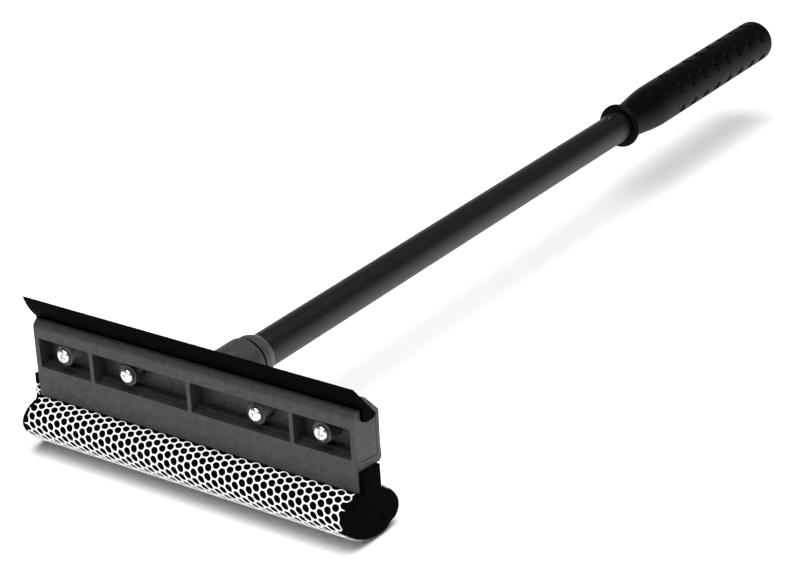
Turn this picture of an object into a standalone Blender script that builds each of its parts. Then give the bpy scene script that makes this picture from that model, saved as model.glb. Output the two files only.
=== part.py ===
"""Window cleaning squeegee: a rubber blade and a netted sponge held by a two-part moulded head,
on a long tube handle that unscrews from the head's neck.

X runs along the blade, +Y runs from the head's front face back along the handle, +Z is up to the
blade's lip. The sponge stands on Z = 0, and the origin is under the middle of the whole tool.
Sections of the head are drawn as (depth behind the front face, height above the floor).
"""
import math

import bmesh
import bpy
from mathutils import Matrix, Vector

MM = 0.001
GAP = 0.3 * MM                      # clearance between neighbouring pieces
OVERRUN = 1.0 * MM                  # cutters run this far past the faces they open
MERGE = 0.01 * MM                   # points closer than this become one

# Sponge and net
BODY_HALF_DEPTH = 23.2 * MM
BODY_HALF_HEIGHT = 13.6 * MM
BODY_TILT = math.radians(-16.0)     # the body hangs lower at the back
BODY_CENTRE_DEPTH = 8.6 * MM
NET_THICKNESS = 0.9 * MM
NET_INSET = 3.0 * MM                # the net stops short of the foam's ends
NET_FRONT_EDGE = 1.5 * MM           # the net's cut edges stop this far from the foam's neck
NET_BACK_EDGE = 2.5 * MM

# Head, along its length
HEAD_LENGTH = 203.0 * MM
END_OVERHANG = 2.0 * MM             # blade and foam stand past the housing at each end
END_WALL = 3.0 * MM
RIB_THICKNESS = 2.5 * MM
OUTER_RIB_INSET = 38.1 * MM         # ribs and screws, measured in from the housing's ends
OUTER_SCREW_INSET = 19.9 * MM
INNER_SCREW_INSET = 60.7 * MM

# Head, heights from the skirt's bottom edge up to the blade's lip
SKIRT_HEIGHT = 17.0 * MM
WINDOW_HEIGHT = 16.4 * MM
RAIL_FLOOR = 2.1 * MM               # plastic between the windows and the blade's seat
LIP_HEIGHT = 7.5 * MM               # the front lip stands this far above the blade's seat
BLADE_HEIGHT = 21.4 * MM            # root's underside to lip
INNER_SCREW_RISE = 0.6 * MM         # the inner screws sit this far above the windows' middle
OUTER_SCREW_RISE = 2.2 * MM
HANDLE_DROP = 0.5 * MM              # the handle's axis lies this far below the middle

# Head, depths and walls
PARTING_DEPTH = 16.9 * MM           # where the rear housing meets the front one
REAR_WALL = 2.6 * MM
SKIRT_THICKNESS = 1.3 * MM
LIP_THICKNESS = 4.7 * MM
LIP_STEP = 0.5 * MM                 # the small step beside the blade
RECESS_DEPTH = 9.5 * MM
RECESS_FLOOR = 1.9 * MM
LEDGE_DEPTH = 5.2 * MM              # the recess's lower wall steps up at this depth
LEDGE_RISE = 1.3 * MM
POCKET_WALL = 2.0 * MM
WINDOW_SILL = 1.4 * MM              # plastic between the windows and the shelf
SHELF_THICKNESS = 4.8 * MM
SHELF_FALL = 2.2 * MM               # the shelf slopes down towards the back
SHELF_BULGE = 0.7 * MM              # the shelf's rounded edge stands out behind the plate
REAR_SKIRT_INSET = 12.0 * MM        # the rear skirt stops this far short of the head's ends
REAR_SKIRT_STEP = 0.1 * MM          # and stands this far in front of the plate

# Blade
BLADE_TIP_FORWARD = 2.9 * MM        # the lip leans this far in front of the head's face
BLADE_TIP_THICKNESS = 0.8 * MM
BLADE_BELLY = 0.9 * MM              # how far the front of the lip swells forward
BLADE_ROOT_STOP = 1.7 * MM          # the root's back edge stops this far before the parting
BLADE_ROOT_RADIUS = 2.6 * MM
BLADE_ROOT_EDGE = 1.2 * MM          # height of the root's back edge
REAR_LIP_THICKNESS = 2.2 * MM
REAR_LIP_RISE = 4.0 * MM            # the rear lip stands this far above the front one

# Screws
SCREW_HEAD_RADIUS = 3.8 * MM
SCREW_HEAD_HEIGHT = 2.1 * MM
SCREW_HEAD_SIDE = 0.95 * MM         # straight side below the rounded crown
SCREW_SHOULDER_RADIUS = 3.3 * MM
SCREW_SHOULDER_HEIGHT = 1.8 * MM
SCREW_CROWN_RADIUS = 2.1 * MM
SCREW_SHANK_RADIUS = 1.8 * MM
SCREW_POINT_RADIUS = 1.45 * MM
SCREW_POINT_LENGTH = 2.4 * MM
SCREW_PLAIN_LENGTH = 1.5 * MM       # unthreaded shank under the head
SCREW_THREAD_PITCH = 2.1 * MM
SCREW_THREAD_DEPTH = 0.35 * MM
SCREW_THREAD_FOOT = 0.2 * MM        # half the flat between two threads
SCREW_SLOT_WIDTH = 0.9 * MM
SCREW_SLOT_DEPTH = 1.2 * MM
INNER_SEAT_DEPTH = 2.0 * MM         # the inner bosses stop this far behind the front face
OUTER_SEAT_DEPTH = 0.4 * MM         # the outer bosses are taller
SCREW_TIP_COVER = 3.4 * MM          # plastic left behind a screw's tip
BOSS_RADIUS = 5.5 * MM
POST_RADIUS = 3.6 * MM

# Handle tube, then the ferrule and neck fitted to it
TUBE_RADIUS = 9.525 * MM
TUBE_WALL = 1.2 * MM
NIB_LENGTH = 9.0 * MM
NIB_WIDTH = 5.0 * MM
NIB_RISE = 0.8 * MM
NIB_SINK = 0.5 * MM                 # the nib's centre lies this far under the tube's skin
NIB_CLEARANCE = 7.5 * MM            # nib's centre in front of the grip's flange
COLLAR_WALL = 2.4 * MM
COLLAR_RIM_WALL = 0.6 * MM          # the collar thins to this at its back rim
COLLAR_RIM_EDGE = 0.3 * MM
COLLAR_LENGTH = 8.6 * MM
COLLAR_SIDE = 2.7 * MM              # straight side in front of the collar's shoulder
COLLAR_FLOOR = 1.6 * MM
PLUG_LENGTH = 24.0 * MM
CHAMFER = 1.0 * MM
WASHER_THICKNESS = 0.8 * MM
WASHER_STEP = 0.3 * MM              # the washer lies this far inside the collar's side
THREAD_PITCH = 5.08 * MM
THREAD_TURNS_OUT = 4                # full turns to take the handle out
THREAD_HEIGHT = 1.1 * MM
THREAD_SHOULDER = 3.0 * MM          # the collar stands this far outside the thread
THREAD_ROOT_SHARE = 0.35            # the ridge rises between these two shares of its half pitch
THREAD_CREST_SHARE = 0.75
THREAD_RUNOUT = 3.0 * MM            # plain spigot between the thread and the collar
THREAD_ROWS = 6                     # rings of points per pitch
SPIGOT_TIP = 1.7 * MM
NECK_END = 46.6 * MM                # depth of the neck's mouth behind the front face
NECK_STEP = 1.0 * MM                # the neck stands this far outside the collar
NECK_EDGE = 1.6 * MM
BORE_FLOOR = 3.8 * MM               # plastic between the neck's bore and the inside of the head
GUSSET_REACH = 26.0 * MM
GUSSET_LENGTH = 18.6 * MM
GUSSET_TIP_LENGTH = 2.8 * MM
GUSSET_THICKNESS = 2.4 * MM
GUSSET_SPREAD = 6.5 * MM

# Grip
GRIP_START = 419.5 * MM
GRIP_LENGTH = 185.5 * MM
GRIP_FLANGE_WALL = 4.0 * MM
GRIP_FLANGE_LENGTH = 4.4 * MM
GRIP_NECK_WALL = 0.9 * MM
GRIP_BODY_WALL = 4.0 * MM
GRIP_SWELL_LENGTH = 40.0 * MM       # from the narrow neck to the full body
GRIP_END_THICKNESS = 5.0 * MM
GRIP_END_ROUND = 5.0 * MM
DIMPLE_ROWS = 6
DIMPLES_PER_ROW = 8
DIMPLE_START = 60.0 * MM            # first dimple's centre behind the flange's front
DIMPLE_END = 15.4 * MM              # last dimple's centre before the grip's end
DIMPLE_RADIUS = 3.5 * MM
DIMPLE_DEPTH = 1.0 * MM
DIMPLE_ROW_ANGLE = math.radians(35.0)

ROUND_STEPS = 32

# Sizes worked out from the ones above
BODY_CENTRE_HEIGHT = math.hypot(
    BODY_HALF_DEPTH * math.sin(BODY_TILT), BODY_HALF_HEIGHT * math.cos(BODY_TILT))
SKIRT_BOTTOM = 2 * BODY_CENTRE_HEIGHT + GAP
WINDOW_BOTTOM = SKIRT_BOTTOM + SKIRT_HEIGHT
WINDOW_TOP = WINDOW_BOTTOM + WINDOW_HEIGHT
WINDOW_MIDDLE = (WINDOW_BOTTOM + WINDOW_TOP) / 2
BLADE_SEAT = WINDOW_TOP + RAIL_FLOOR
LIP_TOP = BLADE_SEAT + LIP_HEIGHT
SHELF_TOP_FRONT = WINDOW_BOTTOM - WINDOW_SILL
OUTER_RIB_X = HEAD_LENGTH / 2 - OUTER_RIB_INSET
OUTER_SCREW_X = HEAD_LENGTH / 2 - OUTER_SCREW_INSET
INNER_SCREW_X = HEAD_LENGTH / 2 - INNER_SCREW_INSET
SCREW_REACH = PARTING_DEPTH + REAR_WALL - SCREW_TIP_COVER     # where every screw ends
HANDLE_HEIGHT = WINDOW_MIDDLE - HANDLE_DROP
SOCKET_RADIUS = TUBE_RADIUS + GAP           # ferrule's and grip's bores round the tube
TUBE_INNER_RADIUS = TUBE_RADIUS - TUBE_WALL
COLLAR_RADIUS = SOCKET_RADIUS + COLLAR_WALL
WASHER_RADIUS = COLLAR_RADIUS - WASHER_STEP
THREAD_CREST_RADIUS = COLLAR_RADIUS - THREAD_SHOULDER
THREAD_ROOT_RADIUS = THREAD_CREST_RADIUS - THREAD_HEIGHT
SPIGOT_LENGTH = THREAD_TURNS_OUT * THREAD_PITCH + SPIGOT_TIP
NECK_RADIUS = COLLAR_RADIUS + NECK_STEP
COLLAR_START = NECK_END + WASHER_THICKNESS + 2 * GAP
TUBE_START = COLLAR_START + COLLAR_FLOOR + GAP
GRIP_NECK_RADIUS = SOCKET_RADIUS + GRIP_NECK_WALL
GRIP_BODY_RADIUS = SOCKET_RADIUS + GRIP_BODY_WALL
GRIP_FLANGE_RADIUS = SOCKET_RADIUS + GRIP_FLANGE_WALL
GRIP_END = GRIP_START + GRIP_LENGTH
TUBE_END = GRIP_END - GRIP_END_THICKNESS - GAP
DIMPLE_PITCH = (GRIP_LENGTH - DIMPLE_START - DIMPLE_END) / (DIMPLES_PER_ROW - 1)


def body_point(angle, inset=0.0):
    """A point of the sponge body's oval section, drawn in by inset; angle 0 is its back."""
    along = (BODY_HALF_DEPTH - inset) * math.cos(angle)
    across = (BODY_HALF_HEIGHT - inset) * math.sin(angle)
    depth = along * math.cos(BODY_TILT) - across * math.sin(BODY_TILT)
    height = along * math.sin(BODY_TILT) + across * math.cos(BODY_TILT)
    return BODY_CENTRE_DEPTH + depth, BODY_CENTRE_HEIGHT + height


# The whole tool's middle lies over the origin, so the front face stands at this Y.
BODY_FRONT = BODY_CENTRE_DEPTH - math.hypot(
    BODY_HALF_DEPTH * math.cos(BODY_TILT), BODY_HALF_HEIGHT * math.sin(BODY_TILT))
FACE_Y = -(BODY_FRONT + GRIP_END) / 2

for old in list(bpy.data.objects):
    bpy.data.objects.remove(old, do_unlink=True)


def new_collection(name):
    collection = bpy.data.collections.new(name)
    bpy.context.scene.collection.children.link(collection)
    return collection


PARTS = new_collection("window_squeegee")
CUTTERS = new_collection("cutters")


def new_empty(name, location, parent=None):
    empty = bpy.data.objects.new(name, None)
    empty.location = location
    empty.parent = parent
    PARTS.objects.link(empty)
    return empty


HEAD = new_empty("head_frame", (0, FACE_Y, 0))
HANDLE = new_empty("handle_axis", (0, 0, HANDLE_HEIGHT), HEAD)


def new_material(name, color, roughness, metallic=0.0):
    material = bpy.data.materials.new(name)
    material.use_nodes = True
    shader = material.node_tree.nodes["Principled BSDF"]
    shader.inputs["Base Color"].default_value = (*color, 1.0)
    shader.inputs["Roughness"].default_value = roughness
    shader.inputs["Metallic"].default_value = metallic
    return material


CHARCOAL = new_material("moulded_polypropylene", (0.045, 0.046, 0.048), 0.55)
RUBBER = new_material("blade_rubber", (0.008, 0.008, 0.009), 0.6)
FOAM = new_material("black_foam", (0.006, 0.006, 0.007), 0.95)
NETTING = new_material("white_netting", (0.80, 0.80, 0.78), 0.7)
ZINC = new_material("zinc_plated_steel", (0.75, 0.75, 0.74), 0.25, 1.0)
COATED = new_material("powder_coated_steel", (0.02, 0.02, 0.021), 0.4)
GRIP_PVC = new_material("dipped_pvc", (0.012, 0.013, 0.014), 0.45)
NYLON = new_material("black_nylon", (0.01, 0.01, 0.01), 0.5)


def add_object(name, mesh, material, parent=HEAD, collection=PARTS):
    item = bpy.data.objects.new(name, mesh)
    item.parent = parent
    collection.objects.link(item)
    if material:
        mesh.materials.append(material)
    return item


def arc(centre, radius, start, end, steps):
    """Points of a round stretch, from the start angle to the end angle in degrees."""
    points = []
    for i in range(steps + 1):
        angle = math.radians(start + (end - start) * i / steps)
        points.append((centre[0] + radius * math.cos(angle), centre[1] + radius * math.sin(angle)))
    return points


def extruded(name, outline, length, material, collection=PARTS):
    """A head section, drawn as (depth, height) points, extruded evenly along X."""
    curve = bpy.data.curves.new(name, "CURVE")
    curve.dimensions = "2D"
    curve.fill_mode = "BOTH"
    curve.extrude = length / 2
    spline = curve.splines.new("POLY")
    spline.points.add(len(outline) - 1)
    for point, (depth, height) in zip(spline.points, outline):
        point.co = (depth, height, 0, 1)
    spline.use_cyclic_u = True
    drawn = bpy.data.objects.new(name + "_outline", curve)
    CUTTERS.objects.link(drawn)
    bpy.context.view_layer.update()
    graph = bpy.context.evaluated_depsgraph_get()
    mesh = bpy.data.meshes.new_from_object(drawn.evaluated_get(graph))
    bpy.data.objects.remove(drawn, do_unlink=True)
    bm = bmesh.new()
    bm.from_mesh(mesh)
    bmesh.ops.remove_doubles(bm, verts=bm.verts, dist=MERGE)
    turned_up = Matrix(((0, 0, 1, 0), (1, 0, 0, 0), (0, 1, 0, 0), (0, 0, 0, 1)))
    bmesh.ops.transform(bm, matrix=turned_up, verts=bm.verts)
    bmesh.ops.recalc_face_normals(bm, faces=bm.faces)
    bm.to_mesh(mesh)
    bm.free()
    mesh.materials.clear()
    return add_object(name, mesh, material, collection=collection)


def turned(name, profile, material, parent=HANDLE, collection=PARTS, steps=ROUND_STEPS,
           closed=False):
    """A turned piece about the handle's axis: (radius, depth) points from the back, down the
    outer side to the front. The parent's origin lies on the axis."""
    mesh = bpy.data.meshes.new(name)
    edges = [(i, i + 1) for i in range(len(profile) - 1)]
    if closed:
        edges.append((len(profile) - 1, 0))
    mesh.from_pydata([(radius, 0, depth) for radius, depth in profile], edges, [])
    item = add_object(name, mesh, None, parent, collection)
    screw = item.modifiers.new("turning", "SCREW")
    screw.axis = "Z"
    screw.steps = steps
    screw.render_steps = steps
    screw.use_merge_vertices = True
    screw.merge_threshold = MERGE
    screw.use_smooth_shade = False
    bpy.context.view_layer.update()
    graph = bpy.context.evaluated_depsgraph_get()
    solid = bpy.data.meshes.new_from_object(item.evaluated_get(graph))
    item.modifiers.clear()
    item.data = solid
    # local Z becomes +Y, so depths run along the handle
    solid.transform(Matrix.Rotation(math.radians(-90), 4, "X"))
    solid.materials.clear()
    if material:
        solid.materials.append(material)
    return item


def smooth_by_angle(item, degrees=35):
    item.data.shade_smooth()
    item.data.set_sharp_from_angle(angle=math.radians(degrees))


def box_set(name, boxes, parent=HEAD):
    """One cutter of plain boxes, each given by its low and high corner."""
    bm = bmesh.new()
    for low, high in boxes:
        low, high = Vector(low), Vector(high)
        made = bmesh.ops.create_cube(bm, size=1)["verts"]
        bmesh.ops.scale(bm, vec=high - low, verts=made)
        bmesh.ops.translate(bm, vec=(low + high) / 2, verts=made)
    mesh = bpy.data.meshes.new(name)
    bm.to_mesh(mesh)
    bm.free()
    return hide_cutter(add_object(name, mesh, None, parent, CUTTERS))


def rod_set(name, centres, radius, front, back, steps=20):
    """One cutter of plain rods along Y, centred on the given (x, z) points."""
    bm = bmesh.new()
    turn = Matrix.Rotation(math.radians(-90), 4, "X")
    for x, z in centres:
        rod = bmesh.ops.create_cone(bm, cap_ends=True, segments=steps, radius1=radius,
                                    radius2=radius, depth=back - front)
        made = rod["verts"]
        bmesh.ops.transform(bm, matrix=turn, verts=made)
        bmesh.ops.translate(bm, vec=(x, (front + back) / 2, z), verts=made)
    mesh = bpy.data.meshes.new(name)
    bm.to_mesh(mesh)
    bm.free()
    return hide_cutter(add_object(name, mesh, None, HEAD, CUTTERS))


def hide_cutter(item):
    item.hide_render = True
    item.display_type = "WIRE"
    return item


def shape(item, other, operation):
    """Adds a Boolean: DIFFERENCE cuts the other shape away, UNION joins it on."""
    modifier = item.modifiers.new(other.name, "BOOLEAN")
    modifier.operation = operation
    modifier.solver = "EXACT"
    modifier.object = other


INNER_SCREWS = [(side * INNER_SCREW_X, WINDOW_MIDDLE + INNER_SCREW_RISE) for side in (-1, 1)]
OUTER_SCREWS = [(side * OUTER_SCREW_X, WINDOW_MIDDLE + OUTER_SCREW_RISE) for side in (-1, 1)]
SCREW_POINTS = INNER_SCREWS + OUTER_SCREWS
SCREW_SEATS = [INNER_SEAT_DEPTH, INNER_SEAT_DEPTH, OUTER_SEAT_DEPTH, OUTER_SEAT_DEPTH]
HOLE_RADIUS = SCREW_SHANK_RADIUS + SCREW_THREAD_DEPTH + GAP
BLADE_FRONT = LIP_THICKNESS + GAP
BLADE_BACK = PARTING_DEPTH - BLADE_ROOT_STOP
BLADE_TIP = (-BLADE_TIP_FORWARD, BLADE_SEAT + BLADE_HEIGHT)
ROOT_SHOULDER = BLADE_SEAT + BLADE_ROOT_EDGE
BLADE_SLOPE = math.atan2(BLADE_TIP[1] - ROOT_SHOULDER,
                         BLADE_TIP[0] + BLADE_TIP_THICKNESS - BLADE_BACK)


def behind_blade(height, offset):
    """Depth of the line that runs offset behind the blade's sloping back, at a height."""
    run = (height - ROOT_SHOULDER) / math.tan(BLADE_SLOPE)
    return BLADE_BACK + run + offset / math.sin(BLADE_SLOPE)


def front_housing():
    """The moulded front: rounded rail, bays with screw bosses, and the skirt over the sponge."""
    radius = LIP_THICKNESS
    rail_centre = (radius, LIP_TOP - radius)
    rail = arc(rail_centre, radius, 180, 100, 7)
    step_top = rail[-1][1] - LIP_STEP
    seat = BLADE_SEAT - GAP
    root = BLADE_ROOT_RADIUS + GAP
    channel = arc((LIP_THICKNESS + root, seat + root), root, 180, 270, 4)
    back = PARTING_DEPTH - GAP
    shelf = SHELF_TOP_FRONT + GAP
    outline = [(0, SKIRT_BOTTOM)] + rail + [(rail[-1][0], step_top), (LIP_THICKNESS, step_top)]
    outline += channel
    outline += [(back, seat), (back, shelf - SHELF_FALL), (SKIRT_THICKNESS, shelf),
                (SKIRT_THICKNESS, SKIRT_BOTTOM)]
    housing = extruded("front_housing", outline, HEAD_LENGTH, CHARCOAL)

    walls = [-HEAD_LENGTH / 2 + END_WALL - RIB_THICKNESS / 2, -OUTER_RIB_X, 0, OUTER_RIB_X,
             HEAD_LENGTH / 2 - END_WALL + RIB_THICKNESS / 2]
    half_rib = RIB_THICKNESS / 2
    bays = []
    pockets = []
    pocket_front = RECESS_DEPTH + RECESS_FLOOR
    for left, right in zip(walls, walls[1:]):
        low, high = left + half_rib, right - half_rib
        bays.append(((low, -OVERRUN, WINDOW_BOTTOM + LEDGE_RISE), (high, RECESS_DEPTH, WINDOW_TOP)))
        pockets.append(((low, pocket_front, WINDOW_BOTTOM + POCKET_WALL),
                        (high, PARTING_DEPTH + OVERRUN, WINDOW_TOP - POCKET_WALL)))
    ledges = [((low[0], low[1], WINDOW_BOTTOM), (high[0], LEDGE_DEPTH, WINDOW_MIDDLE))
              for low, high in bays]
    shape(housing, box_set("bay_cutter", bays), "DIFFERENCE")
    shape(housing, box_set("ledge_cutter", ledges), "DIFFERENCE")
    shape(housing, box_set("pocket_cutter", pockets), "DIFFERENCE")
    boss_back = RECESS_DEPTH + RECESS_FLOOR / 2
    for name, points, seat_depth in (("inner_bosses", INNER_SCREWS, INNER_SEAT_DEPTH),
                                     ("outer_bosses", OUTER_SCREWS, OUTER_SEAT_DEPTH)):
        shape(housing, rod_set(name, points, BOSS_RADIUS, seat_depth, boss_back, 24), "UNION")
    holes = rod_set("front_screw_holes", SCREW_POINTS, HOLE_RADIUS, 0, PARTING_DEPTH)
    shape(housing, holes, "DIFFERENCE")
    return housing


def rear_housing():
    """The rear plate with its shelf, sloping lip, neck, gussets, screw posts and rear skirt."""
    inner = PARTING_DEPTH
    outer = PARTING_DEPTH + REAR_WALL
    lip_top = LIP_TOP + REAR_LIP_RISE
    lip_inner = (behind_blade(lip_top, GAP), lip_top)
    lip_outer = (behind_blade(lip_top, GAP + REAR_LIP_THICKNESS), lip_top)
    corner = (behind_blade(ROOT_SHOULDER + GAP, GAP), ROOT_SHOULDER + GAP)
    shelf_back = SHELF_TOP_FRONT - SHELF_FALL
    shelf_front = SKIRT_THICKNESS + GAP
    edge_bottom = shelf_back - SHELF_THICKNESS + SHELF_BULGE
    outline = [
        (shelf_front, SHELF_TOP_FRONT), (shelf_front, SHELF_TOP_FRONT - SHELF_THICKNESS),
        (inner, edge_bottom), (outer - SHELF_BULGE, edge_bottom),
        (outer + SHELF_BULGE, shelf_back - SHELF_THICKNESS / 2), (outer, shelf_back + SHELF_THICKNESS),
        (outer, ROOT_SHOULDER), lip_outer, lip_inner, corner,
        (inner, BLADE_SEAT), (inner, shelf_back)]
    housing = extruded("rear_housing", outline, HEAD_LENGTH, CHARCOAL)

    skirt_half = HEAD_LENGTH / 2 - REAR_SKIRT_INSET
    rear_skirt = box_set("rear_skirt", [
        ((-skirt_half, inner - REAR_SKIRT_STEP, SKIRT_BOTTOM),
         (skirt_half, outer - SHELF_BULGE, shelf_back - CHAMFER))])
    shape(housing, rear_skirt, "UNION")

    posts = rod_set("screw_posts", SCREW_POINTS, POST_RADIUS,
                    RECESS_DEPTH + RECESS_FLOOR + GAP, inner + REAR_WALL / 2)
    shape(housing, posts, "UNION")

    gussets = bmesh.new()
    for height in (HANDLE_HEIGHT - GUSSET_SPREAD, HANDLE_HEIGHT + GUSSET_SPREAD):
        for side in (-1, 1):
            wedge = bmesh.ops.create_cube(gussets, size=1)["verts"]
            bmesh.ops.scale(gussets, vec=(GUSSET_REACH, GUSSET_LENGTH, GUSSET_THICKNESS), verts=wedge)
            centre = Vector((side * (NECK_RADIUS / 2 + GUSSET_REACH / 2),
                             outer - REAR_WALL / 2 + GUSSET_LENGTH / 2, height))
            bmesh.ops.translate(gussets, vec=centre, verts=wedge)
            tip = [v for v in wedge if v.co.x * side > centre.x * side and v.co.y > centre.y]
            bmesh.ops.translate(gussets, vec=(0, GUSSET_TIP_LENGTH - GUSSET_LENGTH, 0), verts=tip)
    mesh = bpy.data.meshes.new("neck_gussets")
    gussets.to_mesh(mesh)
    gussets.free()
    shape(housing, hide_cutter(add_object("neck_gussets", mesh, None, HEAD, CUTTERS)), "UNION")

    mouth = arc((NECK_RADIUS - NECK_EDGE, NECK_END - NECK_EDGE), NECK_EDGE, 90, 0, 3)
    neck = turned("neck_body", [(0, NECK_END)] + mouth + [
        (NECK_RADIUS, outer - REAR_WALL / 2), (0, outer - REAR_WALL / 2)], None, collection=CUTTERS)
    shape(housing, hide_cutter(neck), "UNION")

    shape(housing, neck_bore(), "DIFFERENCE")
    pilots = rod_set("post_pilots", SCREW_POINTS, HOLE_RADIUS, RECESS_DEPTH, SCREW_REACH + GAP)
    shape(housing, pilots, "DIFFERENCE")
    return housing


def thread_rise(angle, depth):
    """How far the handle's right-hand thread stands up at an angle about the axis, 0 to 1."""
    turn = (depth / THREAD_PITCH - angle / (2 * math.pi)) % 1.0
    ridge = 1 - abs(2 * turn - 1)
    rise = (ridge - THREAD_ROOT_SHARE) / (THREAD_CREST_SHARE - THREAD_ROOT_SHARE)
    return min(max(rise, 0), 1)


def add_thread(item, base_radius, start, end):
    """Raises the helical ridge on the plain cylinder of base_radius between two depths."""
    fade = THREAD_PITCH / 4
    for vertex in item.data.vertices:
        x, depth, z = vertex.co
        radius = math.hypot(x, z)
        if abs(radius - base_radius) > MERGE or not start <= depth <= end:
            continue
        # about +Y by the right-hand rule, Z turns towards X
        angle = math.atan2(x, z)
        ends = min((depth - start) / fade, (end - depth) / fade, 1)
        rise = THREAD_HEIGHT * thread_rise(angle, depth) * ends
        vertex.co.x *= (radius + rise) / radius
        vertex.co.z *= (radius + rise) / radius


def thread_depths(start, end):
    """Depths of the rings of points along a threaded stretch, from its back to its front."""
    rings = round((end - start) * THREAD_ROWS / THREAD_PITCH)
    return [end - (end - start) * i / rings for i in range(rings + 1)]


def neck_bore():
    """The cutter for the neck's threaded bore, larger than the spigot by the clearance."""
    radius = THREAD_ROOT_RADIUS + GAP
    front = PARTING_DEPTH + BORE_FLOOR
    back = NECK_END + OVERRUN
    rows = [(radius, depth) for depth in thread_depths(front, back)]
    bore = turned("neck_bore", [(0, back)] + rows + [(0, front)], None, collection=CUTTERS)
    add_thread(bore, radius, front - THREAD_PITCH, back + THREAD_PITCH)
    return hide_cutter(bore)


def blade():
    """The rubber blade: a thick root clamped in the head and a lip that thins to its edge."""
    root = BLADE_ROOT_RADIUS
    tip_front = BLADE_TIP
    tip_back = (BLADE_TIP[0] + BLADE_TIP_THICKNESS, BLADE_TIP[1])
    leave = (BLADE_FRONT, LIP_TOP)
    front = []
    for i in range(9):
        t = i / 8
        belly = BLADE_BELLY * 4 * t * (1 - t)
        chord = Vector((tip_front[0] - leave[0], tip_front[1] - leave[1]))
        normal = Vector((-chord.y, chord.x)).normalized()
        point = Vector(leave) + chord * t + normal * belly
        front.append((point.x, point.y))
    bottom = arc((BLADE_FRONT + root, BLADE_SEAT + root), root, 270, 180, 5)
    outline = [(BLADE_BACK - root, BLADE_SEAT)] + bottom + front
    outline += [tip_back, (BLADE_BACK, ROOT_SHOULDER)]
    return extruded("squeegee_blade", outline, HEAD_LENGTH + 2 * END_OVERHANG, RUBBER)


def body_angles(inset, front_depth, back_depth, steps):
    """Angles of the oval from where it leaves the neck's front, round the bottom, to its back."""
    def top_angle(depth, start, end):
        for _ in range(40):
            middle = (start + end) / 2
            if body_point(middle, inset)[0] > depth:
                start = middle
            else:
                end = middle
        return (start + end) / 2
    first = top_angle(front_depth, math.radians(30), math.radians(150))
    last = top_angle(back_depth, math.radians(0), math.radians(120)) + 2 * math.pi
    return [first + (last - first) * i / steps for i in range(steps + 1)]


def sponge_core():
    """The foam: a neck clamped under the shelf and an oval body below."""
    inset = NET_THICKNESS + GAP
    neck_front = SKIRT_THICKNESS + GAP
    neck_back = PARTING_DEPTH - REAR_SKIRT_STEP - GAP
    neck_top = SHELF_TOP_FRONT - SHELF_THICKNESS - GAP
    oval = [body_point(a, inset) for a in body_angles(inset, neck_front, neck_back, 40)]
    outline = [(neck_front, neck_top)] + oval
    outline.append((neck_back, neck_top - SHELF_FALL + SHELF_BULGE))
    return extruded("sponge_core", outline, HEAD_LENGTH + 2 * END_OVERHANG, FOAM)


def sponge_net():
    """A skin over the foam's oval, standing in for the knotted net round it."""
    neck_front = SKIRT_THICKNESS + GAP
    neck_back = PARTING_DEPTH - REAR_SKIRT_STEP - GAP
    angles = body_angles(0, neck_front - NET_FRONT_EDGE, neck_back + NET_BACK_EDGE, 40)
    outer = [body_point(a) for a in angles]
    inner = [body_point(a, NET_THICKNESS) for a in angles]
    length = HEAD_LENGTH + 2 * END_OVERHANG - 2 * NET_INSET
    return extruded("sponge_net", outer + inner[::-1], length, NETTING)


def screw(index, point, seat_depth):
    """A pan-head self-tapping screw with a cross recess, driven in from the front."""
    top = seat_depth - GAP
    length = SCREW_REACH - seat_depth
    head = [(SCREW_HEAD_RADIUS, top), (SCREW_HEAD_RADIUS, top - SCREW_HEAD_SIDE),
            (SCREW_SHOULDER_RADIUS, top - SCREW_SHOULDER_HEIGHT),
            (SCREW_CROWN_RADIUS, top - SCREW_HEAD_HEIGHT), (0, top - SCREW_HEAD_HEIGHT)]
    crest = SCREW_SHANK_RADIUS + SCREW_THREAD_DEPTH
    point_start = length - SCREW_POINT_LENGTH
    threads = int((point_start - SCREW_PLAIN_LENGTH) / SCREW_THREAD_PITCH)
    shank = [(0, top + length), (SCREW_POINT_RADIUS, top + point_start)]
    for i in range(threads):
        base = top + point_start - i * SCREW_THREAD_PITCH
        shank += [(SCREW_SHANK_RADIUS, base - SCREW_THREAD_FOOT),
                  (crest, base - SCREW_THREAD_PITCH / 2),
                  (SCREW_SHANK_RADIUS, base - SCREW_THREAD_PITCH + SCREW_THREAD_FOOT)]
    shank.append((SCREW_SHANK_RADIUS, top))
    axis = new_empty("screw_axis_%d" % index, (point[0], 0, point[1]), HEAD)
    item = turned("housing_screw_%d" % index, shank + head, ZINC, parent=axis, steps=16)
    long, short = SCREW_CROWN_RADIUS, SCREW_SLOT_WIDTH / 2
    face = top - SCREW_HEAD_HEIGHT
    for letter, dx, dz in (("a", long, short), ("b", short, long)):
        slot = box_set("screw_slot_%d%s" % (index, letter), [
            ((-dx, face - OVERRUN, -dz), (dx, face + SCREW_SLOT_DEPTH, dz))], axis)
        shape(item, slot, "DIFFERENCE")
    return item


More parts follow.
